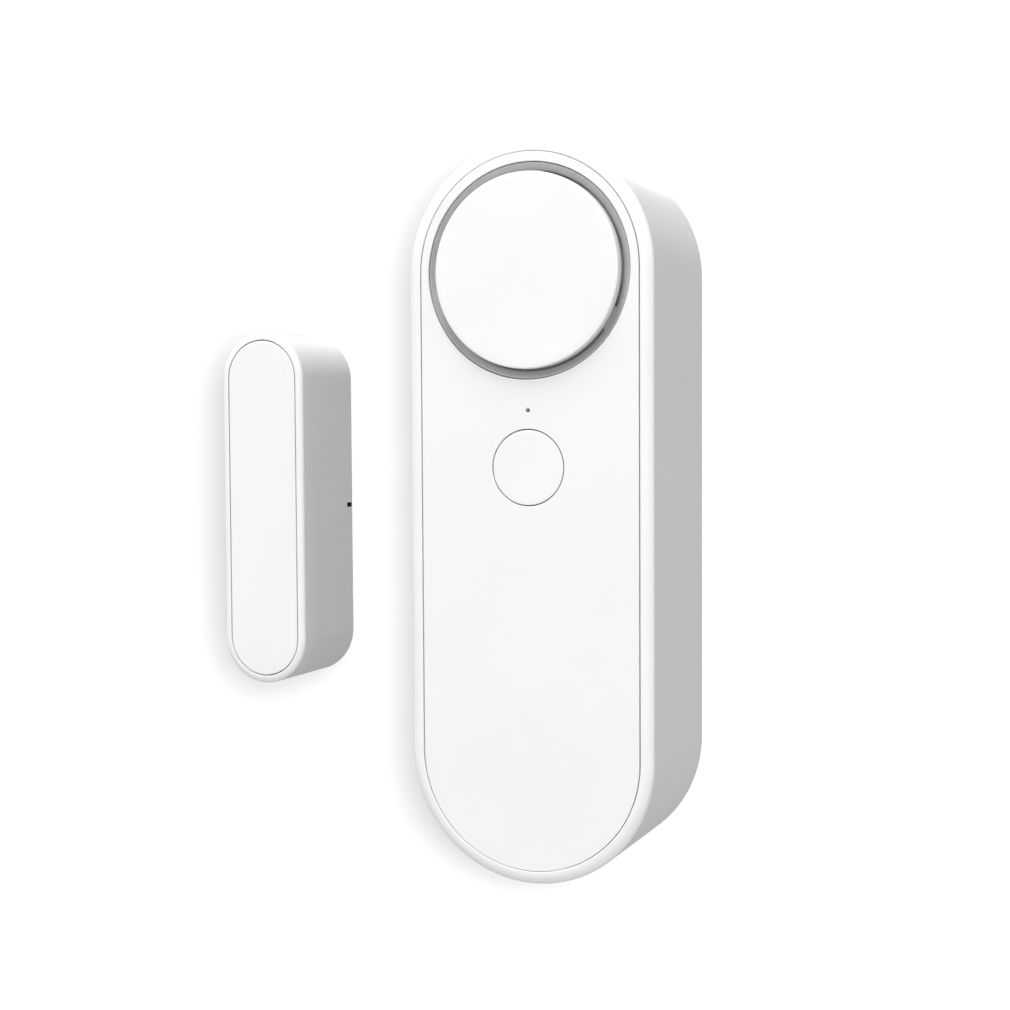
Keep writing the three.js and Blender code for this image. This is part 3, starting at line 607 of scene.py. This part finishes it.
def wire(path, radius):
    """A round wire through the path's points, cut square at both ends."""
    bm = bmesh.new()
    points = [Vector(p) for p in path]
    across = None
    rings = []
    for i, point in enumerate(points):
        ahead = (points[min(i + 1, len(points) - 1)] - points[max(i - 1, 0)]).normalized()
        if across is None:
            across = ahead.orthogonal().normalized()
        across = (across - ahead * across.dot(ahead)).normalized()
        other = ahead.cross(across)
        ring = []
        for k in range(WIRE_SIDES):
            turn = 2 * math.pi * k / WIRE_SIDES
            offset = radius * (math.cos(turn) * across + math.sin(turn) * other)
            ring.append(bm.verts.new(point + offset))
        rings.append(ring)
    for first, second in zip(rings, rings[1:]):
        bridge(bm, first, second)
    for ring in (rings[0], rings[-1]):
        bm.faces.new(ring)
    return bm


def smooth_path(corners):
    """Points on a Catmull-Rom curve through the corners."""
    ends = [corners[0] * 2 - corners[1], *corners, corners[-1] * 2 - corners[-2]]
    path = []
    for a, b, c, d in zip(ends, ends[1:], ends[2:], ends[3:]):
        for i in range(CURVE_STEPS):
            t = i / CURVE_STEPS
            path.append(0.5 * (2 * b + (c - a) * t + (2 * a - 5 * b + 4 * c - d) * t**2
                               + (3 * b - a - 3 * c + d) * t**3))
    return path + [corners[-1]]


def softened(node, name, paint, width_mm):
    """The CAD node's own shape, with its edges rounded as a mould or a press leaves them."""
    same_spot, flat, steep = 0.001 * MM, math.radians(2), math.radians(35)
    bm = bmesh.new()
    bm.from_mesh(frame["nodes"][node].data)
    bmesh.ops.remove_doubles(bm, verts=bm.verts, dist=same_spot)
    bmesh.ops.dissolve_limit(bm, angle_limit=flat, verts=bm.verts, edges=bm.edges)
    edges = [e for e in bm.edges if e.is_manifold and e.calc_face_angle() > steep]
    bmesh.ops.bevel(bm, geom=edges, offset=width_mm * MM, segments=3, profile=0.5, affect="EDGES",
                    clamp_overlap=True)
    finished(bm, name, paint, node)


def rim(face, outer, crown):
    """Corners of a rim that falls from the face in a wide crown, then in a tight outer edge."""
    slant = crown * math.tan(RIM_LEAN / 2) + outer * math.tan(math.pi / 4 - RIM_LEAN / 2)
    return [
        (0, face - slant * math.sin(RIM_LEAN), outer),
        (slant * math.cos(RIM_LEAN), face, crown),
    ]


def screw(node, name, spot, out, head=1.6, shank=0.7, head_height=1.2, length=6.0):
    """Pan-head screw that faces the wall: a cross recess, a threaded shank and a blunt tip."""
    x, up = spot
    shoulder = out + head_height
    root = shank * 0.78
    plain_ends = 1.2
    thread = []
    for i in range(int((length - plain_ends) / THREAD_PITCH)):
        start = shoulder + 0.3 + i * THREAD_PITCH
        thread += [
            (root, start, 0),
            (shank, start + THREAD_PITCH * 0.4, 0),
            (root, start + THREAD_PITCH * 0.8, 0),
        ]
    profile = rounded([
        (head * 0.72, out, 0),
        (head, out + head_height * 0.45, head_height * 0.3),
        (head, shoulder, 0.08),
        (root, shoulder, 0),
        *thread,
        (shank * 0.2, shoulder + length, 0.05),
        (0, shoulder + length, 0),
    ])
    bm = turned(profile, facing(x, up), SCREW_SIDES)
    arm, half_width = head * 0.5, head * 0.12
    quarter = ((arm, -half_width), (arm, half_width), (half_width, half_width))
    cross = []
    for cosine, sine in ((1, 0), (0, 1), (-1, 0), (0, -1)):
        cross += [(cosine * a - sine * b, sine * a + cosine * b) for a, b in quarter]
    recess = []
    for depth, size in ((0, 1.0), (head_height * 0.45, 0.8)):
        ring = [bm.verts.new(place(x + a * size, up + b * size, out + depth)) for a, b in cross]
        recess.append(ring)
    bridge(bm, *recess)
    bm.faces.new(recess[1])
    open_edges = [edge for edge in bm.edges if edge.is_boundary]
    bmesh.ops.triangle_fill(bm, use_beauty=True, use_dissolve=False, edges=open_edges)
    finished(bm, name, zinc, node, sharp=30)


# ---------------------------------------------------------------- sensor unit: casing

def sensor_housing():
    """Tub with a rounded rim; a bulkhead inside carries the panel and the siren."""
    side = rounded([
        (SENSOR_WALL, BULKHEAD_BACK, 0),
        (SENSOR_WALL, REAR_EDGE, MOULD_EDGE),
        (0, REAR_EDGE, MOULD_EDGE),
        *rim(SENSOR_FACE, *SENSOR_RIM),
        (SENSOR_WALL, SENSOR_FACE, EDGE),
        (SENSOR_WALL, BULKHEAD_FRONT, 0),
    ], steps=8)
    straight = [(0, BULKHEAD_BACK), (0, BULKHEAD_FRONT)]
    outlines = [
        (stadium(SENSOR_RADIUS, SENSOR_REACH), side),
        (round_hole(SIREN_OPENING, SIREN_UP), straight),
        (round_hole(BUTTON_OPENING, BUTTON_UP), straight),
        (round_hole(LIGHT_OPENING, LIGHT_UP, TINY_SIDES), straight),
    ]
    finished(swept(outlines), "sensor_housing_shell", white, "sensor_housing")


def front_panel():
    """Panel let into the rim, with soft edges at its outline and at each opening."""
    def side(radius):
        return rounded([
            (0, PANEL_BACK, 0),
            (0, SENSOR_FACE, radius),
            (radius * 1.5, SENSOR_FACE, 0),
        ])
    outlines = [
        (stadium(PANEL_RADIUS, INSIDE_REACH), side(EDGE)),
        (round_hole(RING_RADIUS + RING_GAP, SIREN_UP, BUTTON_SIDES), side(EDGE)),
        (round_hole(BUTTON_RADIUS + CLEARANCE, BUTTON_UP), side(EDGE)),
        (round_hole(LIGHT_HOLE_RADIUS, LIGHT_UP, TINY_SIDES), side(EDGE / 2)),
    ]
    finished(swept(outlines), "front_panel_cover", panel_white, "front_panel")


def tab(bm, left, right, bottom, top):
    """A locating tab on the rear plate, with a lead-in all round its front edge."""
    back, front = REAR_PLATE_FRONT - TAB_ROOT, REAR_PLATE_FRONT + TAB_REACH
    rings = []
    for inset, out in ((0, back), (0, front - 2 * TAB_LEAD_IN), (TAB_LEAD_IN, front)):
        corners = (
            (left + inset, bottom + inset),
            (right - inset, bottom + inset),
            (right - inset, top - inset),
            (left + inset, top - inset),
        )
        rings.append([bm.verts.new(place(x, up, out)) for x, up in corners])
    for first, second in zip(rings, rings[1:]):
        bridge(bm, first, second)
    for ring in (rings[0], rings[-1]):
        bm.faces.new(ring)


def rear_plate():
    """Plate that stays on the wall: a rounded rim and three tabs that locate the tub."""
    section = rounded([
        (4, REAR_EDGE, 0),
        (0, REAR_EDGE, MOULD_EDGE),
        (0, REAR_PLATE_FRONT, 0.2),
        (0.8, REAR_PLATE_FRONT, 0),
    ])
    bm = swept([(stadium(REAR_PLATE_RADIUS, SENSOR_REACH), section)])
    for left, right, bottom, top in REAR_TABS:
        tab(bm, left, right, bottom, top)
    finished(bm, "sensor_rear_plate_skin", white, "sensor_rear_plate")


# ---------------------------------------------------------------- sensor unit: siren

def siren_cap():
    """Disc that stands proud of the face, with a softly rounded edge and a locating peg."""
    profile = rounded([
        (0, PEG_BACK, 0),
        (PEG_RADIUS, PEG_BACK, CAP_EDGE),
        (PEG_RADIUS, CAP_BACK, 0),
        (CAP_RADIUS, CAP_BACK, CAP_EDGE),
        (CAP_RADIUS, CAP_FRONT, CAP_EDGE),
        (CAP_RADIUS - 0.8, CAP_FRONT, 0),
        (0, CAP_FRONT, 0),
    ])
    bm = turned(profile, facing(0, SIREN_UP), FINE_SIDES)
    finished(bm, "siren_cap_disc", white, "siren_cap")


def siren_ring():
    """Sloping ring, with three spokes to the hub that carries the cap; its grey is partly painted
    shade.
    """
    slope = rounded([
        (THROAT_RADIUS, PANEL_BACK, 0),
        (RING_RADIUS, PANEL_BACK, 0),
        (RING_RADIUS, SENSOR_FACE - RING_DROP, 0.12),
        (THROAT_RADIUS, THROAT, 0.15),
    ], closed=True)
    bm = turned(slope, facing(0, SIREN_UP), FINE_SIDES, closed=True)
    hub = rounded([
        (HUB_BORE, PANEL_BACK, 0),
        (HUB_RADIUS, PANEL_BACK, 0),
        (HUB_RADIUS, THROAT, 0.1),
        (HUB_BORE, THROAT, 0),
    ], closed=True)
    turned(hub, facing(0, SIREN_UP), COMPONENT_SIDES, closed=True, bm=bm)
    length = SPOKE_END - SPOKE_START
    depth = THROAT - PANEL_BACK
    middle = place(SPOKE_START + length / 2, 0, (THROAT + PANEL_BACK) / 2)
    for degrees in SPOKE_ANGLES:
        spoke = bmesh.ops.create_cube(bm, size=1.0)["verts"]
        bmesh.ops.scale(bm, vec=(length * MM, depth * MM, SPOKE_WIDTH * MM), verts=spoke)
        bmesh.ops.translate(bm, vec=middle, verts=spoke)
        turn = Matrix.Rotation(math.radians(-degrees), 3, "Y")
        bmesh.ops.rotate(bm, cent=(0, 0, 0), matrix=turn, verts=spoke)
        bmesh.ops.translate(bm, vec=place(0, SIREN_UP, 0), verts=spoke)
    finished(bm, "siren_ring_slope", grey, "siren_ring")


# ---------------------------------------------------------------- sensor unit: button and light

def button_cap():
    """Flush disc with a stem that presses the switch and a flange that stays behind the panel."""
    profile = rounded([
        (0, BUTTON_STEM_BACK, 0),
        (BUTTON_STEM_RADIUS, BUTTON_STEM_BACK, 0.2),
        (BUTTON_STEM_RADIUS, BUTTON_FLANGE_BACK, 0),
        (BUTTON_FLANGE_RADIUS, BUTTON_FLANGE_BACK, 0.15),
        (BUTTON_FLANGE_RADIUS, BUTTON_FLANGE_FRONT, 0.15),
        (BUTTON_RADIUS, BUTTON_FLANGE_FRONT, 0),
        (BUTTON_RADIUS, SENSOR_FACE, EDGE),
        (BUTTON_RADIUS - 0.4, SENSOR_FACE, 0),
        (0, SENSOR_FACE, 0),
    ])
    bm = turned(profile, facing(0, BUTTON_UP), BUTTON_SIDES)
    finished(bm, "button_cap_disc", panel_white, "button_cap")


def light_pipe():
    """Clear barrel over the status light, with a thin tip just behind the panel's small hole."""
    profile = rounded([
        (0, PIPE_BACK, 0),
        (PIPE_RADIUS, PIPE_BACK, 0.1),
        (PIPE_RADIUS, PIPE_SHOULDER, 0.2),
        (PIPE_TIP_RADIUS, PIPE_SHOULDER, 0),
        (PIPE_TIP_RADIUS, PIPE_TIP, 0.08),
        (0, PIPE_TIP, 0),
    ])
    bm = turned(profile, facing(0, LIGHT_UP), SMALL_SIDES)
    finished(bm, "light_pipe_lens", clear, "led_light_pipe")


# ---------------------------------------------------------------- sensor unit: power and electronics

def battery(node, name, paint, x, bottom, positive_up):
    """AAA cell: sleeve rolled over both ends, positive nub and a dished negative end."""
    body = CELL_LENGTH - NUB_HEIGHT
    profile = rounded([
        (0, CELL_DISH, 0),
        (3.0, CELL_DISH, 0),
        (3.3, 0, 0.1),
        (4.3, 0, 0.1),
        (4.5, 0.15, 0),
        (CELL_RADIUS, 0.05, 0.35),
        (CELL_RADIUS, body, 0.45),
        (4.4, body, 0.1),
        (4.2, body - CELL_DISH, 0.05),
        (2.5, body - CELL_DISH, 0.1),
        (NUB_RADIUS, body - 0.05, 0.05),
        (NUB_RADIUS, CELL_LENGTH, 0.25),
        (0, CELL_LENGTH, 0),
    ])
    if not positive_up:
        profile = [Vector((radius, CELL_LENGTH - along)) for radius, along in profile]
    bm = turned(profile, standing(x, CELL_OUT, bottom), ROUND_SIDES)
    piece = finished(bm, name, paint, node)
    piece.data.materials.append(nickel)
    flat_end, nub_end = 0.3, NUB_HEIGHT + 0.1
    below, above = (flat_end, nub_end) if positive_up else (nub_end, flat_end)
    low, high = bottom + below, bottom + CELL_LENGTH - above
    for face in piece.data.polygons:
        middle = face.center
        off_axis = math.hypot(middle.x - x * MM, middle.y + CELL_OUT * MM)
        at_an_end = not low * MM < middle.z < high * MM
        if at_an_end and off_axis < SLEEVE_LIP * MM:
            face.material_index = 1


def spring(node, name, x, base, direction):
    """Conical contact spring that rises from its wide base, or drops when direction is -1."""
    path = []
    for i in range(SPRING_STEPS + 1):
        share = i / SPRING_STEPS
        angle = 2 * math.pi * SPRING_TURNS * share
        radius = SPRING_BASE_RADIUS + (SPRING_TIP_RADIUS - SPRING_BASE_RADIUS) * share
        up = base + direction * SPRING_HEIGHT * share
        path.append(place(x + radius * math.cos(angle), up, CELL_OUT + radius * math.sin(angle)))
    finished(wire(path, SPRING_WIRE_RADIUS * MM), name, nickel, node)


def siren_wire(node, name, x, paint):
    """Lead from the back of the siren, down and then forward to the back of the board."""
    corners = [
        place(x, SIREN_UP - 5, 17.6),
        place(x, SIREN_UP - 7.5, 14),
        place(x, SIREN_UP - 12.6, 12.3),
        place(x, 17.2, 12.2),
        place(x, 15.4, 13.2),
        place(x, 15, 15.1),
    ]
    bm = wire(smooth_path(corners), SIREN_WIRE_RADIUS * MM)
    finished(bm, name, paint, node)


def reed_glass():
    """Glass capsule with both ends drawn in round the leads."""
    profile = rounded([
        (0, REED_BOTTOM, 0),
        (REED_SEAL_RADIUS, REED_BOTTOM, 0.3),
        (REED_RADIUS, REED_BOTTOM + REED_TAPER, 0.8),
        (REED_RADIUS, REED_TOP - REED_TAPER, 0.8),
        (REED_SEAL_RADIUS, REED_TOP, 0.3),
        (0, REED_TOP, 0),
    ])
    bm = turned(profile, standing(REED_X, REED_OUT), SMALL_SIDES)
    finished(bm, "reed_capsule", glass, "reed_switch_glass")


def inductor():
    """Drum core with a waist between two flanges."""
    flange, waist, height = 3.2, 2.4, 3.4
    profile = rounded([
        (0, 0, 0),
        (flange, 0, 0.15),
        (flange, 0.7, 0.15),
        (waist, 1.0, 0.1),
        (waist, 2.4, 0.1),
        (flange, 2.7, 0.15),
        (flange, height, 0.2),
        (0, height, 0),
    ])
    bm = turned(profile, facing(*INDUCTOR, BOARD_FRONT), COMPONENT_SIDES)
    finished(bm, "inductor_drum", ferrite, "boost_inductor")


def capacitor():
    """Electrolytic can with a crimped groove near its foot."""
    radius, groove, height = 2.6, 2.4, 4.1
    profile = rounded([
        (0, 0, 0),
        (radius, 0, 0.1),
        (radius, 0.8, 0.1),
        (groove, 1.0, 0.08),
        (radius, 1.2, 0.1),
        (radius, height - 0.3, 0.25),
        (radius - 0.3, height, 0.1),
        (0, height, 0),
    ])
    bm = turned(profile, facing(*CAPACITOR, BOARD_FRONT), COMPONENT_SIDES)
    finished(bm, "capacitor_case", can, "storage_capacitor")


# ---------------------------------------------------------------- magnet unit

def magnet_housing():
    """Narrow tub with a ledge that carries the panel, and a mark that faces the sensor."""
    section = rounded([
        (MAGNET_WALL, REAR_EDGE, 0.25),
        (0, REAR_EDGE, 0.25),
        *rim(MAGNET_FACE, *MAGNET_RIM),
        (MAGNET_WALL, MAGNET_FACE, 0.06),
        (MAGNET_WALL, MAGNET_LEDGE_FRONT, 0),
        (MAGNET_WALL + MAGNET_LEDGE, MAGNET_LEDGE_FRONT, 0.1),
        (MAGNET_WALL + MAGNET_LEDGE, MAGNET_LEDGE_BACK, 0.1),
        (MAGNET_WALL, MAGNET_LEDGE_BACK, 0.2),
    ], closed=True, steps=7)
    outline = stadium(MAGNET_RADIUS, MAGNET_REACH, MAGNET_X, MAGNET_UP)
    bm = swept([(outline, section)], closed=True)
    alignment_mark(bm)
    piece = finished(bm, "magnet_housing_shell", white, "magnet_housing")
    piece.data.materials.append(mark_black)


def alignment_mark(bm):
    """Presses a small dark recess into the flat side that faces the sensor; its dark is partly
    painted shade.
    """
    side_x = MAGNET_X + MAGNET_RADIUS
    tolerance = 0.001
    flat, = [f for f in bm.faces if all(v.co.x > (side_x - tolerance) * MM for v in f.verts)]
    middle = flat.calc_center_median()
    outer = sorted(flat.verts, key=lambda v: math.atan2(v.co.z - middle.z, middle.y - v.co.y))
    bm.faces.remove(flat)
    low, high = MAGNET_UP - MARK_HALF_HEIGHT, MAGNET_UP + MARK_HALF_HEIGHT
    corners = ((low, MARK_BACK), (low, MARK_FRONT), (high, MARK_FRONT), (high, MARK_BACK))
    lip = [bm.verts.new(place(side_x, up, out)) for up, out in corners]
    floor = [bm.verts.new(place(side_x - MARK_DEPTH, up, out)) for up, out in corners]
    bridge(bm, outer, lip)
    white_faces = set(bm.faces)
    bridge(bm, lip, floor)
    bm.faces.new(floor)
    # the recess's near black is partly the mark's own colour and partly painted shade in the recess
    for face in set(bm.faces) - white_faces:
        face.material_index = 1


def magnet_panel():
    """Panel let into the magnet unit's rim, on its ledge."""
    section = rounded([
        (0, MAGNET_LEDGE_FRONT + 0.1, 0),
        (0, MAGNET_FACE, EDGE),
        (0.5, MAGNET_FACE, 0),
    ])
    outline = stadium(MAGNET_PANEL_RADIUS, MAGNET_REACH, MAGNET_X, MAGNET_UP)
    bm = swept([(outline, section)])
    finished(bm, "magnet_panel_cover", panel_white, "magnet_front_panel")


def magnet_rear_cover():
    """Snap-in cover that closes the magnet unit's back."""
    section = rounded([
        (2, REAR_EDGE, 0),
        (0, REAR_EDGE, MOULD_EDGE),
        (0, MAGNET_COVER_FRONT, 0.2),
        (0.6, MAGNET_COVER_FRONT, 0),
    ])
    outline = stadium(MAGNET_PANEL_RADIUS, MAGNET_REACH, MAGNET_X, MAGNET_UP)
    bm = swept([(outline, section)])
    finished(bm, "magnet_rear_skin", white, "magnet_rear_cover")


def foam_pad(node, name, radius, reach, x=0, up=0):
    """Double-sided foam tape with slightly rounded cut edges."""
    cut = 0.12
    section = rounded([
        (0.6, 0, 0),
        (0, 0, cut),
        (0, PAD_FRONT, cut),
        (0.6, PAD_FRONT, 0),
    ])
    bm = swept([(stadium(radius, reach, x, up), section)])
    finished(bm, name, foam, node)


# ---------------------------------------------------------------- building the pieces

sensor_housing()
front_panel()
rear_plate()
siren_cap()
siren_ring()
button_cap()
light_pipe()
magnet_housing()
magnet_panel()
magnet_rear_cover()
foam_pad("sensor_adhesive_pad", "sensor_foam_pad", *SENSOR_PAD)
foam_pad("magnet_adhesive_pad", "magnet_foam_pad", *MAGNET_PAD, MAGNET_X, MAGNET_UP)

battery("battery_1", "battery_cell_1", sleeve_up, -CELL_X, CELL_1_TOP - CELL_LENGTH, True)
battery("battery_2", "battery_cell_2", sleeve_down, CELL_X, CELL_2_BOTTOM, False)
spring("battery_spring_1", "battery_coil_1", -CELL_X, SPRING_1_BASE, 1)
spring("battery_spring_2", "battery_coil_2", CELL_X, SPRING_2_BASE, -1)
siren_wire("siren_wire_red", "siren_lead_red", -SIREN_WIRE_X, red_wire)
siren_wire("siren_wire_black", "siren_lead_black", SIREN_WIRE_X, black_wire)
reed_glass()
inductor()
capacitor()

for number, side in ((1, -1), (2, 1)):
    tray_spot = (side * TRAY_SCREW[0], TRAY_SCREW[1])
    board_spot = (side * BOARD_SCREW[0], BOARD_SCREW[1])
    screw(f"tray_screw_{number}", f"tray_screw_{number}_threaded", tray_spot, TRAY_SCREW_BACK)
    screw(f"board_screw_{number}", f"board_screw_{number}_threaded", board_spot, BOARD_SCREW_BACK,
          length=4.5)
for number, degrees in enumerate(SPOKE_ANGLES, 1):
    turn = math.radians(degrees)
    siren_spot = (
        SIREN_SCREW_CIRCLE * math.cos(turn),
        SIREN_UP + SIREN_SCREW_CIRCLE * math.sin(turn),
    )
    screw(f"siren_screw_{number}", f"siren_screw_{number}_threaded", siren_spot, SIREN_SCREW_BACK,
          head=1.2, shank=0.6, head_height=1.1, length=2.4)

SOFTENED = (
    # CAD node, piece, finish, slot, how wide its edges are rounded
    ("siren_chamber", "siren_chamber_cup", dark, "dark_plastic", 0.2),
    ("battery_tray", "battery_tray_moulding", dark, "dark_plastic", 0.2),
    ("main_circuit_board", "main_board_laminate", board, "circuit_board", 0.08),
    ("radio_board", "radio_board_laminate", board, "circuit_board", 0.05),
    ("radio_shield", "radio_shield_can", tin, "tinned_steel", 0.2),
    ("tact_switch", "tact_switch_case", dark, "dark_plastic", 0.15),
    ("contact_positive", "contact_positive_strip", nickel, "contact_nickel", 0.08),
    ("contact_negative", "contact_negative_strip", nickel, "contact_nickel", 0.08),
    ("contact_bridge", "contact_bridge_strip", nickel, "contact_nickel", 0.08),
    ("magnet_cradle", "magnet_cradle_moulding", white, "white_plastic", 0.15),
    ("magnet_bar", "magnet_bar_plated", plated, "magnet_plating", 0.25),
)
for node, name, paint, slot, width in SOFTENED:
    softened(node, name, paint, width)

# pieces that are shown with the CAD model's own shape
KEPT = {
    "siren_diaphragm": brass,
    "siren_piezo": piezo,
    "siren_gasket": foam,
    "tact_switch_plunger": dark,
    "status_led": clear,
    "reed_lead_upper": tin,
    "reed_lead_lower": tin,
}
for node, paint in KEPT.items():
    kept = frame["nodes"][node]
    kept.data.materials.clear()
    kept.data.materials.append(paint)

# ---------------------------------------------------------------- studio


def sweep():
    """Pale studio floor that glows and curves up into a backdrop well behind the object."""
    bm = bmesh.new()
    start, rise = BACKDROP - BEND_RADIUS, FLOOR + BEND_RADIUS
    line = [(-SWEEP_SIDE, FLOOR), (start, FLOOR)]
    for i in range(1, BEND_STEPS + 1):
        angle = math.pi / 2 * i / BEND_STEPS
        line.append((start + BEND_RADIUS * math.sin(angle), rise - BEND_RADIUS * math.cos(angle)))
    line.append((BACKDROP, SWEEP_TOP))
    rows = [[bm.verts.new((x, y, z)) for x in (-SWEEP_SIDE, SWEEP_SIDE)] for y, z in line]
    for (a, b), (c, d) in zip(rows, rows[1:]):
        bm.faces.new((a, b, d, c))
    mesh = bpy.data.meshes.new("studio_sweep")
    bm.to_mesh(mesh)
    bm.free()
    mesh.shade_smooth()
    n = Nodes("studio_paper_painted_glow")
    n.colour(n.blend(n.noise(40, 2), shade(PAPER, 0.98), shade(PAPER, 1.02)))
    # the paper glows by itself; round the point behind the object the glow is dimmed, which is
    # painted shade
    away = n.add("ShaderNodeVectorMath", operation="DISTANCE")
    n.link(n.coords, away.inputs[0])
    away.inputs[1].default_value = SWEEP_MIDDLE
    (near, painted_shade_glow), (far, far_glow) = PAINTED_SHADE_NEAR, GLOW_FAR
    glow = n.spread(away.outputs["Value"], near, far, painted_shade_glow, far_glow)
    n.link(glow, n.shader.inputs["Emission Strength"])
    n.fixed(Roughness=0.9, Emission_Color=(1, 1, 1, 1))
    mesh.materials.append(n.material)
    stage = bpy.data.objects.new("studio_sweep", mesh)
    stage.visible_diffuse = False
    stage.visible_glossy = False
    stage.visible_shadow = False
    bpy.context.scene.collection.objects.link(stage)
    return stage


def around(azimuth, elevation):
    """A direction from the object; azimuth turns from the front towards the right, in degrees."""
    turn, lift = math.radians(azimuth), math.radians(elevation)
    level = math.cos(lift)
    return Vector((math.sin(turn) * level, -math.cos(turn) * level, math.sin(lift)))


def softbox(name, direction, size, level):
    """A square area light one metre away; level compares it with an even world of strength 1."""
    data = bpy.data.lights.new(name, "AREA")
    data.size = size
    data.energy = level * math.pi ** 2
    light = bpy.data.objects.new(name, data)
    light.location = MIDDLE + direction
    light.rotation_mode = "QUATERNION"
    light.rotation_quaternion = (-direction).to_track_quat("-Z", "Y")
    bpy.context.scene.collection.objects.link(light)


def camera():
    """The photograph's view."""
    azimuth, elevation, roll = (math.radians(angle) for angle in CAMERA_ANGLES)
    forward = Vector((
        -math.sin(azimuth) * math.cos(elevation),
        math.cos(azimuth) * math.cos(elevation),
        -math.sin(elevation),
    ))
    level = Vector((math.cos(azimuth), math.sin(azimuth), 0))
    upright = level.cross(forward)
    right = math.cos(roll) * level + math.sin(roll) * upright
    up = math.cos(roll) * upright - math.sin(roll) * level
    data = bpy.data.cameras.new("camera")
    data.lens = CAMERA_LENS
    data.sensor_width = FILM_WIDTH
    data.clip_start = CAMERA_NEAR
    data.clip_end = CAMERA_FAR
    eye = bpy.data.objects.new("camera", data)
    turn = Matrix((right, up, -forward)).transposed()
    eye.matrix_world = Matrix.Translation(CAMERA_PLACE) @ turn.to_4x4()
    bpy.context.scene.collection.objects.link(eye)
    bpy.context.scene.camera = eye
    return eye


def studio_world(strength):
    """Even light from all round; the backdrop beyond the sweep is plain white."""
    world = bpy.data.worlds.new("studio_world")
    world.use_nodes = True
    tree = world.node_tree
    tree.nodes.clear()
    light, backdrop = (tree.nodes.new("ShaderNodeBackground") for _ in range(2))
    light.inputs["Strength"].default_value = strength
    light.inputs["Color"].default_value = (1, 1, 1, 1)
    backdrop.inputs["Color"].default_value = (1, 1, 1, 1)
    seen = tree.nodes.new("ShaderNodeLightPath")
    either = tree.nodes.new("ShaderNodeMixShader")
    output = tree.nodes.new("ShaderNodeOutputWorld")
    tree.links.new(seen.outputs["Is Camera Ray"], either.inputs[0])
    tree.links.new(light.outputs[0], either.inputs[1])
    tree.links.new(backdrop.outputs[0], either.inputs[2])
    tree.links.new(either.outputs[0], output.inputs["Surface"])
    bpy.context.scene.world = world


def shadow_light(eye, backdrop):
    """A small lamp beside the camera that lights the backdrop alone, so the object's soft shadow
    shows on the backdrop as a thin halo, mostly to the left and below."""
    data = bpy.data.lights.new("shadow_light", "AREA")
    data.shape = "DISK"
    data.size = SHADOW_LIGHT_SIZE
    data.energy = SHADOW_LIGHT_POWER
    light = bpy.data.objects.new("shadow_light", data)
    light.matrix_world = eye.matrix_world @ Matrix.Translation(SHADOW_LIGHT_OFFSET)
    light.visible_camera = False
    bpy.context.scene.collection.objects.link(light)
    receivers = bpy.data.collections.new("shadow_light_receivers")
    receivers.objects.link(backdrop)
    light.light_linking.receiver_collection = receivers


bpy.context.scene.view_settings.view_transform = "Standard"
studio_world(WORLD_STRENGTH)
stage = sweep()
eye = camera()
for name, azimuth, elevation, size, level in SOFTBOXES:
    softbox(name, around(azimuth, elevation), size, level)
shadow_light(eye, stage)
